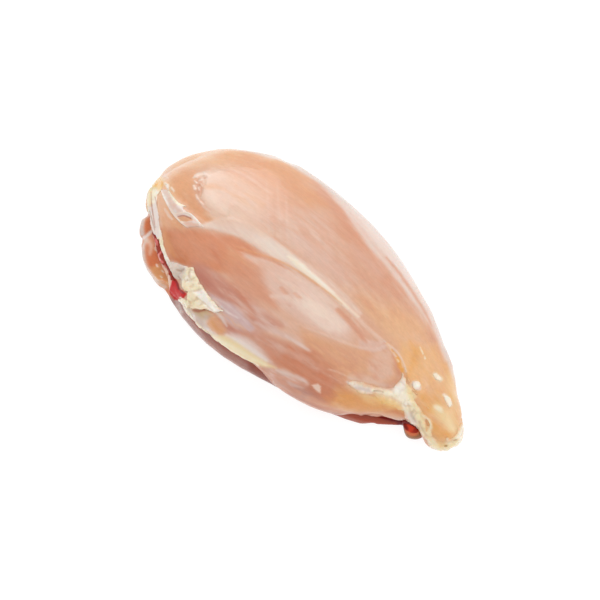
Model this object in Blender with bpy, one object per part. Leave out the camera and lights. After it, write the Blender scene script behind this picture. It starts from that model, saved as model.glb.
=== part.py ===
"""A raw boneless chicken breast with its inner fillet, modelled in metres, +Z up.

The breast lies on its cut side. +X runs from the blunt shoulder end to the narrow tip, and the edge
that shows the inner fillet faces -Y. The origin is under the middle of the whole, on the surface
that the breast lies on.

A place on the breast's skin is a pair: the station along the length, from -1 at the blunt end to 1
at the tip, and the angle round the section, where 0 is the far edge (+Y), 90 the crown, 180 the near
edge (-Y) and 270 the middle of the underside.
"""
import math
import random

import bmesh
import bpy
from mathutils import Matrix, Vector, noise

MM = 0.001

# The breast muscle
BREAST_LENGTH = 178.5 * MM
BREAST_CENTRE = (-5.5 * MM, 0.55 * MM)
FAR_WIDTH = 44.8 * MM
NEAR_WIDTH = 43.6 * MM
NEAR_BULGE = 3.9 * MM
NEAR_BULGE_STATION = 0.54
NEAR_BULGE_REACH = 0.22
BREAST_HEIGHT = 36.5 * MM
EDGE_HEIGHT = 14.0 * MM
BELLY_DEPTH = 2.5 * MM
BELLY_TUCK = 6.0 * MM
END_SWING = 4.6 * MM
FAR_TAPER = (0.60, 0.81)
NEAR_TAPER = (0.71, 0.78)
CROWN_TAPER = (0.42, 0.56)
EDGE_TAPER = (0.45, 0.45)
CROWN_ROUND = 0.9
BELLY_ROUND = 0.8

# The tendon's seam along the crown: its angle at mid length, its drift per station, how it hooks down
# towards the blunt end, and the station where it has faded out
SEAM_DEPTH = 0.8 * MM
SEAM_WIDTH = 5.0 * MM
SEAM_ANGLE = 98.0
SEAM_DRIFT = -8.0
SEAM_HOOK = 26.0
SEAM_HOOK_STATION = -0.1
SEAM_END = 0.75

# The gristly knob at the narrow end, and its neck on the far side
KNOB_CENTRE = (77.1 * MM, -3.6 * MM, 7.6 * MM)
KNOB_RADII = (15.4 * MM, 8.9 * MM, 6.7 * MM)
NECK_CENTRE = (74.4 * MM, 3.2 * MM, 8.3 * MM)
NECK_RADII = (11.0 * MM, 7.3 * MM, 7.6 * MM)
KNOB_SWELL = 0.09

# The inner fillet under the near edge
INNER_LENGTH = 161.0 * MM
INNER_CENTRE = (-5.5 * MM, -28.9 * MM)
INNER_WIDTH = 31.0 * MM
INNER_HEIGHT = 14.0 * MM
INNER_EDGE_HEIGHT = 6.5 * MM
INNER_BELLY_DEPTH = 1.5 * MM
INNER_TUCK = 2.0 * MM
INNER_BOW = 19.4 * MM
INNER_TAPER = (0.42, 0.69)
INNER_PINCH = 3.4 * MM
INNER_PINCH_X = 24.0 * MM
INNER_PINCH_REACH = 24.0 * MM
INNER_GAP = 0.45 * MM

# Lobes and end of the inner fillet: centre, radii and turn about Z in degrees
INNER_LOBES = (
    ((-57.7 * MM, -28.7 * MM, 8.4 * MM), (16.6 * MM, 8.6 * MM, 8.0 * MM), -28.0),
    ((-72.9 * MM, -21.1 * MM, 9.0 * MM), (7.0 * MM, 5.8 * MM, 6.2 * MM), -50.0),
    ((74.3 * MM, -11.4 * MM, 4.8 * MM), (6.2 * MM, 4.5 * MM, 4.6 * MM), 20.0),
)

# Fat and membrane on the skin: the places that each strand runs through, its width at the start, in
# the middle and at the end, and the share of it that stands out
STRANDS = {
    "rim fat": (((-0.91, 152), (-0.87, 160), (-0.79, 161), (-0.61, 165), (-0.45, 168), (-0.33, 169)),
                (5.0 * MM, 4.4 * MM, 5.6 * MM), 0.36),
    "flank fat": (((-0.26, 178), (-0.14, 182), (0.0, 179), (0.14, 172), (0.30, 166), (0.42, 164)),
                  (7.0 * MM, 8.0 * MM, 3.0 * MM), 0.26),
    "flank veil": (((-0.16, 166), (-0.04, 166), (0.10, 163), (0.22, 161)),
                   (5.0 * MM, 7.0 * MM, 2.6 * MM), 0.18),
    "membrane fold": (((-0.82, 128), (-0.68, 123), (-0.56, 119), (-0.45, 115)),
                      (2.4 * MM, 4.0 * MM, 2.0 * MM), 0.34),
    "membrane hem": (((-0.72, 138), (-0.61, 133), (-0.53, 126), (-0.45, 116)),
                     (2.2 * MM, 3.6 * MM, 2.0 * MM), 0.32),
    "lower tip fat": (((0.57, 142), (0.65, 143), (0.71, 140), (0.77, 138), (0.83, 136)),
                      (3.4 * MM, 5.4 * MM, 6.4 * MM), 0.28),
    "upper tip fat": (((0.66, 95), (0.73, 98), (0.79, 105), (0.84, 120)),
                      (2.6 * MM, 4.4 * MM, 6.0 * MM), 0.3),
}

# The thick fat band beside the knob: its middle line and its widths
BAND_ROUTE = ((64.7 * MM, -6.1 * MM, 15.6 * MM), (70.0 * MM, -7.9 * MM, 11.4 * MM),
              (75.7 * MM, -8.9 * MM, 8.0 * MM), (82.1 * MM, -8.7 * MM, 5.6 * MM))
BAND_WIDTHS = (5.6 * MM, 7.4 * MM, 6.4 * MM)

# The block of fat at the near edge: two staggered rows of lumps, sunk by a share of their size
CLUMP_FROM = -0.40
CLUMP_TO = -0.10
CLUMP_LUMPS = 9
CLUMP_ANGLES = (159.0, 170.0)
CLUMP_SCATTER = 2.0
CLUMP_SIZE = 4.7 * MM
CLUMP_SINK = 0.3
# The lump of fat at the corner of the blunt end
CORNER_CENTRE = (-88.0 * MM, -3.2 * MM, 7.6 * MM)
CORNER_SIZE = 3.8 * MM
# Small pale nodules near the tip: their places on the skin and their sizes
NODULES = (((0.81, 104), 2.2 * MM), ((0.84, 77), 1.9 * MM), ((0.93, 75), 2.2 * MM),
           ((0.71, 72), 1.4 * MM), ((0.74, 76), 1.4 * MM), ((0.92, 104), 1.7 * MM))
# The fat cap round the end of the knob
CAP_CENTRE = (83.1 * MM, -3.9 * MM, 4.5 * MM)
CAP_RADII = (5.8 * MM, 5.4 * MM)
CAP_LUMPS = 7
CAP_FROM = -98.0
CAP_TO = 75.0
CAP_LUMP = 3.7 * MM

# How uneven the lumps and strands are: the share by which a size varies, the shares of a lump's size in
# length, width and height, and the height and number of the swells on it
SIZE_VARIES = 0.14
LUMP_SWELL = 0.22
SWELL_GRAIN = 1.6
LUMP_SHAPE = (1.2, 0.9, 0.9)

# How finely the forms are divided
BREAST_PARTS = (52, 36)
INNER_PARTS = (26, 28)
LOBE_DETAIL = 3
LUMP_DETAIL = 2
NODULE_DETAIL = 1
STRAND_STEP = 4.0 * MM
PROBE = 0.01
WELD_DISTANCE = 0.01 * MM
SEED = 11

# Colours, linear red, green and blue, and roughness
MUSCLE = ((0.74, 0.43, 0.31), 0.35)
INNER = ((0.60, 0.31, 0.23), 0.35)


def taper(station, shape):
    """A rounded profile along the length: 0 at both ends and 1 at its widest."""
    rise, fall = shape
    if abs(station) >= 1.0:
        return 0.0
    widest = (rise - fall) / (rise + fall)
    peak = (1.0 + widest) ** rise * (1.0 - widest) ** fall
    return (1.0 + station) ** rise * (1.0 - station) ** fall / peak


def signed_power(value, power):
    """The value raised to the power, with its sign kept."""
    return math.copysign(abs(value) ** power, value)


def tucked(station, height, edge_height, tuck):
    """How far the underside draws in at the two ends."""
    below_edge = max(1.0 - height / edge_height, 0.0)
    return tuck * station ** 5 * below_edge ** 2


def breast_point(station, angle):
    """A point of the breast's skin."""
    across = signed_power(math.cos(angle), CROWN_ROUND)
    width = FAR_WIDTH * taper(station, FAR_TAPER)
    if across < 0.0:
        from_bulge = (station - NEAR_BULGE_STATION) / NEAR_BULGE_REACH
        width = NEAR_WIDTH * taper(station, NEAR_TAPER) + NEAR_BULGE * math.exp(-from_bulge ** 2)
    edge = EDGE_HEIGHT * taper(station, EDGE_TAPER)
    crown = BREAST_HEIGHT * taper(station, CROWN_TAPER)
    lift = math.sin(angle)
    height = edge - (edge + BELLY_DEPTH) * abs(lift) ** BELLY_ROUND
    if lift > 0.0:
        height = edge + (crown - edge) * lift ** CROWN_ROUND
    height = max(height, 0.0)
    x = BREAST_CENTRE[0] + BREAST_LENGTH / 2.0 * station - tucked(station, height, EDGE_HEIGHT, BELLY_TUCK)
    y = BREAST_CENTRE[1] + END_SWING * station * station + width * across
    return Vector((x, y, height))


def breast_normal(station, angle):
    """The direction that points out of the breast's skin."""
    along = breast_point(station + PROBE, angle) - breast_point(station - PROBE, angle)
    round_section = breast_point(station, angle + PROBE) - breast_point(station, angle - PROBE)
    return round_section.cross(along).normalized()


def seam_angle(station):
    """Where the tendon's shallow seam crosses the section."""
    hooked = max(SEAM_HOOK_STATION - station, 0.0)
    return math.radians(SEAM_ANGLE + SEAM_DRIFT * station + SEAM_HOOK * hooked)


def seamed_breast_point(station, angle):
    """The skin with the seam pressed in, which fades towards both ends."""
    point = breast_point(station, angle)
    fade = max(1.0 - (station / SEAM_END) ** 2, 0.0)
    away = (point - breast_point(station, seam_angle(station))).length / SEAM_WIDTH
    if point.z > EDGE_HEIGHT:
        point.z -= SEAM_DEPTH * fade * math.exp(-away * away)
    return point


def inner_point(station, angle, grow):
    """A point of the inner fillet, or of the room cut for it when it is grown."""
    x = INNER_CENTRE[0] + (INNER_LENGTH / 2.0 + grow) * station
    body = taper(station, INNER_TAPER)
    pinch = INNER_PINCH * math.exp(-((x - INNER_PINCH_X) / INNER_PINCH_REACH) ** 2)
    width = (INNER_WIDTH / 2.0 - pinch + grow) * body
    crown = (INNER_HEIGHT + grow) * body
    edge = INNER_EDGE_HEIGHT * body
    lift = math.sin(angle)
    height = edge - (edge + INNER_BELLY_DEPTH) * abs(lift) ** BELLY_ROUND
    if lift > 0.0:
        height = edge + (crown - edge) * lift
    y = INNER_CENTRE[1] + INNER_BOW * station * station + width * math.cos(angle)
    x -= tucked(station, max(height, 0.0), INNER_EDGE_HEIGHT, INNER_TUCK)
    return Vector((x, y, max(height, -grow)))


def object_from(name, mesh_maker, collection):
    """A mesh object whose mesh is filled by mesh_maker."""
    work = bmesh.new()
    mesh_maker(work)
    bmesh.ops.recalc_face_normals(work, faces=work.faces)
    mesh = bpy.data.meshes.new(name)
    work.to_mesh(mesh)
    work.free()
    made = bpy.data.objects.new(name, mesh)
    collection.objects.link(made)
    return made


def sphere_form(name, parts, place, collection):
    """A sphere whose every point is moved to place(station, angle), with its poles along X."""
    def make(work):
        bmesh.ops.create_uvsphere(work, u_segments=parts[0], v_segments=parts[1], radius=1.0)
        for vert in work.verts:
            station = max(-1.0, min(1.0, vert.co.z))
            vert.co = place(station, math.atan2(vert.co.y, vert.co.x))
        bmesh.ops.remove_doubles(work, verts=work.verts, dist=WELD_DISTANCE)
        bmesh.ops.triangulate(work, faces=work.faces)
    return object_from(name, make, collection)


def ball(name, centre, radii, turn, swell, detail, collection):
    """A ball with three radii, turned about Z in radians, and uneven by the share that swell says."""
    centre = Vector(centre)
    spin = Matrix.Rotation(turn, 3, "Z")

    def make(work):
        bmesh.ops.create_icosphere(work, subdivisions=detail, radius=1.0)
        for vert in work.verts:
            grown = 1.0 + swell * noise.noise(vert.co * SWELL_GRAIN + centre / MM)
            vert.co = centre + spin @ Vector(co * radius * grown for co, radius in zip(vert.co, radii))
    return object_from(name, make, collection)


def varied(draw):
    """A factor near 1, for pieces of uneven size."""
    return draw.uniform(1.0 - SIZE_VARIES, 1.0 + SIZE_VARIES)


def lump(name, centre, size, detail, collection, draw):
    """An uneven little lump of fat."""
    radii = [size * share * varied(draw) for share in LUMP_SHAPE]
    return ball(name, centre, radii, draw.uniform(0.0, math.tau), LUMP_SWELL, detail, collection)


def smooth_route(points):
    """Evenly spaced points on a smooth curve through the given ones."""
    ends = [points[0] * 2.0 - points[1], *points, points[-1] * 2.0 - points[-2]]
    route = []
    for before, start, stop, after in zip(ends, ends[1:], ends[2:], ends[3:]):
        steps = max(1, round((stop - start).length / STRAND_STEP))
        for step in range(steps):
            t = step / steps
            route.append(0.5 * (2.0 * start + (stop - before) * t
                                + (2.0 * before - 5.0 * start + 4.0 * stop - after) * t ** 2
                                + (3.0 * start - before - 3.0 * stop + after) * t ** 3))
    return route + [points[-1]]


def strand(name, points, widths, collection, draw):
    """A tube with closed ends through the points, as wide as widths says at start, middle and end."""
    route = smooth_route(points)
    curve = bpy.data.curves.new(name, "CURVE")
    curve.dimensions = "3D"
    curve.bevel_depth = 1.0
    curve.bevel_resolution = 2
    curve.use_fill_caps = True
    spline = curve.splines.new("POLY")
    spline.points.add(len(route) - 1)
    start, middle, end = widths
    bow = 4.0 * middle - 2.0 * (start + end)
    for index, point in enumerate(route):
        t = index / (len(route) - 1)
        width = start + (end - start) * t + bow * t * (1.0 - t)
        spline.points[index].co = (*point, 1.0)
        spline.points[index].radius = width / 2.0 * varied(draw)
    guide = bpy.data.objects.new(name + " guide", curve)
    collection.objects.link(guide)
    bpy.context.view_layer.update()
    mesh = bpy.data.meshes.new_from_object(guide.evaluated_get(bpy.context.evaluated_depsgraph_get()))
    bpy.data.objects.remove(guide)

    def make(work):
        work.from_mesh(mesh)
        bmesh.ops.remove_doubles(work, verts=work.verts, dist=WELD_DISTANCE)
        bmesh.ops.triangulate(work, faces=work.faces)
    return object_from(name, make, collection)


def apply_modifiers(target):
    """Replaces the object's mesh with what its modifiers make of it."""
    bpy.context.view_layer.update()
    shaped = bpy.data.meshes.new_from_object(target.evaluated_get(bpy.context.evaluated_depsgraph_get()))
    target.modifiers.clear()
    target.data = shaped


def keep_largest_shell(target):
    """Fills hollows that the joining sealed and drops loose scraps: only the largest shell stays."""
    work = bmesh.new()
    work.from_mesh(target.data)
    waiting = set(work.verts)
    shells = []
    while waiting:
        shell = set()
        front = [waiting.pop()]
        while front:
            vert = front.pop()
            shell.add(vert)
            beside = [edge.other_vert(vert) for edge in vert.link_edges]
            found = [other for other in beside if other in waiting]
            waiting.difference_update(found)
            front.extend(found)
        shells.append(shell)
    largest = max(shells, key=len)
    bmesh.ops.delete(work, geom=[vert for vert in work.verts if vert not in largest], context="VERTS")
    work.to_mesh(target.data)
    work.free()


def fuse(target, pieces):
    """Joins every object of the collection to the target in one body, and removes them."""
    union = target.modifiers.new("fuse", "BOOLEAN")
    union.operation = "UNION"
    union.operand_type = "COLLECTION"
    union.collection = pieces
    union.solver = "EXACT"
    apply_modifiers(target)
    keep_largest_shell(target)
    for piece in list(pieces.objects):
        bpy.data.objects.remove(piece)


def cut(target, cutter):
    """Takes the cutter's room out of the target."""
    difference = target.modifiers.new("room", "BOOLEAN")
    difference.operation = "DIFFERENCE"
    difference.object = cutter
    difference.solver = "EXACT"
    apply_modifiers(target)
    keep_largest_shell(target)


def finish(target, colour, roughness):
    """Gives the object its own material and smooth shading."""
    material = bpy.data.materials.new(target.name)
    material.use_nodes = True
    surface = material.node_tree.nodes["Principled BSDF"]
    surface.inputs["Base Color"].default_value = (*colour, 1.0)
    surface.inputs["Roughness"].default_value = roughness
    surface.inputs["Metallic"].default_value = 0.0
    target.data.materials.clear()
    target.data.materials.append(material)
    target.data.shade_smooth()


def on_skin(place, lift):
    """The point of the breast's skin at a station and an angle in degrees, raised by lift."""
    station, angle = place[0], math.radians(place[1])
    return breast_point(station, angle) + breast_normal(station, angle) * lift


def add_skin_fat(collection, draw):
    """Fat, membrane folds and nodules that stand out of the breast's skin."""
    for name, (places, widths, proud) in STRANDS.items():
        lift = (proud - 0.5) * widths[1]
        strand(name, [on_skin(place, lift) for place in places], widths, collection, draw)
    for index in range(CLUMP_LUMPS):
        station = CLUMP_FROM + (CLUMP_TO - CLUMP_FROM) * index / (CLUMP_LUMPS - 1)
        angle = CLUMP_ANGLES[index % 2] + draw.uniform(-CLUMP_SCATTER, CLUMP_SCATTER)
        size = CLUMP_SIZE * varied(draw)
        lump("clump", on_skin((station, angle), -CLUMP_SINK * size), size, LUMP_DETAIL, collection, draw)
    lump("corner", CORNER_CENTRE, CORNER_SIZE, LUMP_DETAIL, collection, draw)
    for place, size in NODULES:
        lump("nodule", on_skin(place, 0.0), size, NODULE_DETAIL, collection, draw)


def add_tip(collection, draw):
    """The knob at the narrow end, the fat band beside it and the fat cap round it."""
    ball("knob", KNOB_CENTRE, KNOB_RADII, 0.0, KNOB_SWELL, LOBE_DETAIL, collection)
    ball("neck", NECK_CENTRE, NECK_RADII, 0.0, KNOB_SWELL, LOBE_DETAIL, collection)
    strand("band", [Vector(point) for point in BAND_ROUTE], BAND_WIDTHS, collection, draw)
    for index in range(CAP_LUMPS):
        way = math.radians(CAP_FROM + (CAP_TO - CAP_FROM) * index / (CAP_LUMPS - 1))
        round_end = Vector((CAP_RADII[0] * math.cos(way), CAP_RADII[1] * math.sin(way), 0.0))
        size = CAP_LUMP * varied(draw)
        lump("cap", Vector(CAP_CENTRE) + round_end, size, LUMP_DETAIL, collection, draw)


def add_inner_lobes(collection, grow):
    """The lobes at the inner fillet's thick end and the nub at its thin end."""
    for centre, radii, turn in INNER_LOBES:
        grown = [radius + grow for radius in radii]
        ball("lobe", centre, grown, math.radians(turn), 0.0, LOBE_DETAIL, collection)


def make_inner_fillet(collection, pieces):
    """Makes the long slim muscle under the near edge."""
    fillet = sphere_form("inner_fillet", INNER_PARTS, lambda s, a: inner_point(s, a, 0.0), collection)
    add_inner_lobes(pieces, 0.0)
    fuse(fillet, pieces)
    finish(fillet, *INNER)


def make_room(cutters, pieces):
    """The inner fillet's form grown by the gap, which the breast leaves free."""
    room = sphere_form("inner fillet room", INNER_PARTS, lambda s, a: inner_point(s, a, INNER_GAP), cutters)
    add_inner_lobes(pieces, INNER_GAP)
    fuse(room, pieces)
    room.hide_render = True
    room.display_type = "WIRE"
    return room


def make_breast(collection, pieces, room):
    """Makes the breast muscle with its fat and knob, hollowed where the inner fillet lies."""
    draw = random.Random(SEED)
    breast = sphere_form("breast_fillet", BREAST_PARTS, seamed_breast_point, collection)
    add_skin_fat(pieces, draw)
    add_tip(pieces, draw)
    fuse(breast, pieces)
    cut(breast, room)
    finish(breast, *MUSCLE)


def main():
    for old in list(bpy.data.objects):
        bpy.data.objects.remove(old)
    model = bpy.data.collections.new("Raw chicken breast")
    cutters = bpy.data.collections.new("Cutters")
    pieces = bpy.data.collections.new("Pieces to fuse")
    for collection in (model, cutters, pieces):
        bpy.context.scene.collection.children.link(collection)
    make_inner_fillet(model, pieces)
    room = make_room(cutters, pieces)
    make_breast(model, pieces, room)


main()
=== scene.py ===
"""Raw chicken breast: the looks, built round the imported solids.

The file has an add-on's layout and is run as a script. One operator makes each piece or group of like
pieces. Routes and outlines are pixels of the photograph, and each is laid on the meat that shows there.
"""

import math
from itertools import product

import bmesh
import bpy
import numpy as np
from bpy.props import FloatProperty, FloatVectorProperty, PointerProperty
from bpy.types import Operator, Panel, PropertyGroup
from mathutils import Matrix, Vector
from mathutils.bvhtree import BVHTree


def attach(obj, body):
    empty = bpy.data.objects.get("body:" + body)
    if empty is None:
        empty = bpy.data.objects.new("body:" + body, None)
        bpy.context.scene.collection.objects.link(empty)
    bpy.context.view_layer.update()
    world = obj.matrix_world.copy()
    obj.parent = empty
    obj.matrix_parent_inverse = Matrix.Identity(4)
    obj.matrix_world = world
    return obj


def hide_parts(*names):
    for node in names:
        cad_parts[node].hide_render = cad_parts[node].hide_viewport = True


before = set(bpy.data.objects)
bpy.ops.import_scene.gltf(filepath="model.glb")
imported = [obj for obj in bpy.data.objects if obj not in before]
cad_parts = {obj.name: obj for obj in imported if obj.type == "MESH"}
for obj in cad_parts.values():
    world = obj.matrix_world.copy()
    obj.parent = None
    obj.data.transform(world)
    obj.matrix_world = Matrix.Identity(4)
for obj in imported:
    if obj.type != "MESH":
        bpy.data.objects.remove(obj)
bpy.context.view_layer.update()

bl_info = {
    "name": "Raw chicken breast",
    "version": (1, 0, 0),
    "blender": (4, 5, 0),
    "location": "3D View > Sidebar > Chicken",
    "description": "Builds a raw chicken breast with its inner fillet, fat, membranes and blood",
    "category": "Mesh",
}

MM = 0.001

# The photograph's camera
PICTURE_WIDTH = 600
VIEW_AZIMUTH = 45.0
VIEW_ELEVATION = 58.0
VIEW_TARGET = (0.875 * MM, -3.125 * MM, 12.0 * MM)
VIEW_DISTANCE = 712.5 * MM
LENS = 100.0
SENSOR = 36.0
PIXELS_PER_MM = LENS / SENSOR * PICTURE_WIDTH / (VIEW_DISTANCE / MM)

# The studio: a pale floor that glows a little, a white world, and two softboxes, each with its name and
# with its turn and lift in degrees
FLOOR_HALF = 1.5
FLOOR_GREY = 0.25
FLOOR_GLOW = 0.86
WORLD_GLOW = 0.92
SOFTBOXES = (("left softbox", -125, 34), ("right softbox", 125, 36))
SOFTBOX_SIZE = 0.5
SOFTBOX_DISTANCE = 0.9

# How much brighter than its own colour the lights show a surface, and the white shine that they add on wet
# surfaces and on dull ones
LIGHT_GAIN = 1.06
WET_SHINE = 0.055
DULL_SHINE = 0.02
# The darkest and the lightest that a surface's own colour can be
DARKEST = 0.002
LIGHTEST = 0.95

# Spacing of the stops of a route, in pixels
ROUTE_STEP = 2.0
# How fast the fibres' patterns change along the meat, as a share of how fast they change across it
FIBRE_STRETCH = 0.16
# Lumps in a ragged edge, fibres in a grain, and the contrast between those fibres
RAGGED_GRAIN = 3.0 * MM
FIBRE_GRAIN = 1.3 * MM
FIBRE_CONTRAST = 1.9
# Softness in pixels above which a ragged edge frays along the fibres
FINE_SOFTNESS = 3.5
# How far round the meat a wash goes on beyond what the camera sees, as the fall of its facing
ROUND_REACH = 0.3
# Least facing towards the camera of a face that shows
SHOWN_FACING = -0.1
# Least facing towards the camera and least height of the skin that is divided once
DIVIDED_FACING = -0.15
DIVIDED_HEIGHT = 3.0 * MM
# Breadth of the soft swellings and of the ridges along the fibres, on the breast and on the inner fillet
SWELL_GRAIN = 15.0 * MM
RIDGE_GRAIN = 2.6 * MM
INNER_SWELL_GRAIN = 8.0 * MM
INNER_RIDGE_GRAIN = 2.4 * MM
INNER_SWELL = 0.20 * MM
# Breadth of the creases between lobules, in grains, and the share of its fat that a thin part loses
CREASE_BREADTH = 0.45
THIN_LOSS = 0.6
# Rounds in which a line of sight that misses the meat closes in on it
CLOSING_ROUNDS = 12
# Strength of the fine relief in every finish
RELIEF_STRENGTH = 0.5
# Sides of a strand, and spacing of a patch's points in pixels
STRAND_SIDES = 12
PATCH_STEP = 0.7


def smooth(value):
    """Eases a value from 0 to 1 and keeps it there."""
    value = np.clip(value, 0.0, 1.0)
    return value * value * (3.0 - 2.0 * value)


def linear(colour):
    """A colour as it shows, 0 to 255, as light from 0 to 1."""
    shown = np.asarray(colour, float) / 255.0
    return np.where(shown <= 0.04045, shown / 12.92, ((shown + 0.055) / 1.055) ** 2.4)


def cloud(points, grain, seed, octaves=3):
    """Smooth random values from -1 to 1 over the points, in lumps about one grain across."""
    total = np.zeros(len(points))
    for octave in range(octaves):
        place = points * (2.0 ** octave / grain) + seed * 7.31
        low = np.floor(place)
        part = place - low
        part = part * part * (3.0 - 2.0 * part)
        low = low.astype(np.int64)
        for corner in product((0, 1), repeat=3):
            cell = low + corner
            share = np.prod(np.where(corner, part, 1.0 - part), axis=1)
            total += (2.0 * drawn(cell, seed * 7919 + octave) - 1.0) * share * 0.5 ** octave
    return total / (2.0 - 0.5 ** (octaves - 1))


def drawn(cell, seed):
    """A random value from 0 to 1 for each whole-numbered cell."""
    key = cell[:, 0] * 73856093 ^ cell[:, 1] * 19349663 ^ cell[:, 2] * 83492791 ^ seed
    key = (key ^ (key >> 15)) * 2246822519 & 0xFFFFFFFF
    key = (key ^ (key >> 13)) * 3266489917 & 0xFFFFFFFF
    return ((key >> 8) & 0xFFFF) / 65535.0


def lobules(points, grain, seed):
    """Rounded lobules about one grain across: 1 inside them and 0 in the creases between them."""
    place = points / grain
    low = np.floor(place).astype(np.int64)
    first = np.full(len(points), 9.0)
    second = first.copy()
    for corner in product((-1, 0, 1), repeat=3):
        cell = low + corner
        heart = cell + np.stack([drawn(cell, seed * 31 + axis) for axis in range(3)], axis=1)
        away = np.linalg.norm(heart - place, axis=1)
        second = np.minimum(second, np.maximum(first, away))
        first = np.minimum(first, away)
    return smooth((second - first) / CREASE_BREADTH)


def flowing(stops, step):
    """A smooth route through the stops, with a stop about every step."""
    stops = np.asarray(stops, float)
    if len(stops) < 3:
        count = max(1, int(np.linalg.norm(stops[-1, :2] - stops[0, :2]) / step))
        return stops[0] + (stops[-1] - stops[0]) * np.linspace(0.0, 1.0, count + 1)[:, None]
    padded = np.vstack([2 * stops[0] - stops[1], stops, 2 * stops[-1] - stops[-2]])
    route = []
    for index in range(1, len(padded) - 2):
        before, start, end, after = padded[index - 1:index + 3]
        count = max(1, int(np.linalg.norm(end[:2] - start[:2]) / step))
        for part in np.arange(count) / count:
            route.append(0.5 * (2 * start + (end - before) * part
                                + (2 * before - 5 * start + 4 * end - after) * part ** 2
                                + (3 * start - before - 3 * end + after) * part ** 3))
    route.append(stops[-1])
    return np.array(route)


def beyond(points, route, widths, reach):
    """How far each point lies outside a route of that half width: below 0 inside it, at most reach."""
    answer = np.full(len(points), reach, float)
    low = route.min(axis=0) - reach - widths.max()
    high = route.max(axis=0) + reach + widths.max()
    near = np.flatnonzero(np.all((points > low) & (points < high), axis=1))
    close = points[near]
    found = answer[near]
    for index in range(len(route) - 1):
        run = route[index + 1] - route[index]
        along = np.clip((close - route[index]) @ run / max(run @ run, 1e-18), 0.0, 1.0)
        away = np.linalg.norm(close - route[index] - along[:, None] * run, axis=1)
        found = np.minimum(found, away - widths[index] - along * (widths[index + 1] - widths[index]))
    answer[near] = found
    return answer


def inside_outline(pixels, outline):
    """How far each pixel lies inside an outline of pixels: above 0 inside it."""
    corners = np.asarray(outline, float)
    away = np.full(len(pixels), 1e9)
    within = np.zeros(len(pixels), bool)
    for start, end in zip(corners, np.roll(corners, -1, axis=0)):
        run = end - start
        along = np.clip((pixels - start) @ run / (run @ run), 0.0, 1.0)
        away = np.minimum(away, np.linalg.norm(pixels - start - along[:, None] * run, axis=1))
        crosses = (pixels[:, 1] < start[1]) != (pixels[:, 1] < end[1])
        if run[1]:
            side = pixels[:, 0] < start[0] + (pixels[:, 1] - start[1]) * run[0] / run[1]
            within ^= crosses & side
    return np.where(within, away, -away)


class Picture:
    """The photograph's camera: where a point shows, and what lies under a pixel."""

    def __init__(self):
        turn = math.radians(VIEW_AZIMUTH)
        lift = math.radians(VIEW_ELEVATION)
        self.right = np.array((math.cos(turn), math.sin(turn), 0.0))
        ahead = np.array((-math.sin(turn), math.cos(turn), 0.0))
        high = np.array((0.0, 0.0, 1.0))
        self.up = ahead * math.sin(lift) + high * math.cos(lift)
        self.back = high * math.sin(lift) - ahead * math.cos(lift)
        self.place = np.array(VIEW_TARGET) + self.back * VIEW_DISTANCE
        self.focus = LENS / SENSOR * PICTURE_WIDTH

    def pixels(self, points):
        """The pixels where the points show."""
        away = points - self.place
        depth = -(away @ self.back)
        middle = PICTURE_WIDTH / 2
        return np.stack([middle + self.focus * (away @ self.right) / depth,
                         middle - self.focus * (away @ self.up) / depth], axis=1)

    def ray(self, pixel):
        """The direction of the line of sight through a pixel."""
        middle = PICTURE_WIDTH / 2
        line = ((pixel[0] - middle) / self.focus * self.right
                - (pixel[1] - middle) / self.focus * self.up - self.back)
        return line / np.linalg.norm(line)


PICTURE = Picture()


# The painted colours of each piece of meat, by its name, filled in by the operators
PAINTED = {}


class Carrier:
    """The meat that a route or a lump is laid on."""

    def __init__(self, *names):
        points, self.faces, colours = [], [], []
        for name in names:
            mesh = bpy.data.objects[name].data
            first = len(points)
            points.extend(vertex.co.copy() for vertex in mesh.vertices)
            self.faces.extend([first + index for index in face.vertices] for face in mesh.polygons)
            colours.append(PAINTED.get(name, np.zeros((len(mesh.vertices), 3))))
        self.colours = np.vstack(colours)
        self.tree = BVHTree.FromPolygons(points, self.faces)

    def under(self, pixel):
        """The place and the outward direction of the meat under a pixel, or beside it at the outline."""
        sight = PICTURE.ray(pixel)
        place, normal, _, _ = self.tree.ray_cast(Vector(PICTURE.place), Vector(sight))
        if place is None:
            near = PICTURE.place + sight * VIEW_DISTANCE
            for _ in range(CLOSING_ROUNDS):
                place, normal, _, _ = self.tree.find_nearest(Vector(near))
                near = PICTURE.place + sight * ((np.array(place) - PICTURE.place) @ sight)
        return np.array(place), np.array(normal)

    def nearest(self, points):
        """How far each point is from the meat, and the meat's colour there."""
        found = [self.tree.find_nearest(Vector(point)) for point in points]
        corners = [self.faces[index][0] for _, _, index, _ in found]
        return np.array([away for _, _, _, away in found]), self.colours[corners]

    def route(self, stops):
        """Places, outward directions and half widths of a route of (pixel, pixel, half width in pixels)."""
        dense = flowing(stops, ROUTE_STEP)
        laid = [self.under(stop[:2]) for stop in dense]
        return (np.array([place for place, _ in laid]), np.array([normal for _, normal in laid]),
                dense[:, 2] / PIXELS_PER_MM * MM)


def new_object(name, points, faces):
    """A mesh object in the scene."""
    mesh = bpy.data.meshes.new(name)
    mesh.from_pydata([tuple(point) for point in points], [], [tuple(face) for face in faces])
    mesh.update()
    piece = bpy.data.objects.new(name, mesh)
    bpy.context.scene.collection.objects.link(piece)
    return piece


def read_vectors(items, name):
    """One vector of each of a mesh's vertices or faces."""
    found = np.empty(len(items) * 3, np.float32)
    items.foreach_get(name, found)
    return found.reshape(-1, 3).astype(float)


def points_of(mesh):
    """The places of a mesh's vertices."""
    return read_vectors(mesh.vertices, "co")


def normals_of(mesh):
    """The outward directions at a mesh's vertices."""
    return read_vectors(mesh.vertex_normals, "vector")


def face_middles(mesh):
    """The middles of a mesh's faces."""
    return read_vectors(mesh.polygons, "center")


def face_normals(mesh):
    """The outward directions of a mesh's faces."""
    return read_vectors(mesh.polygons, "normal")


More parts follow.
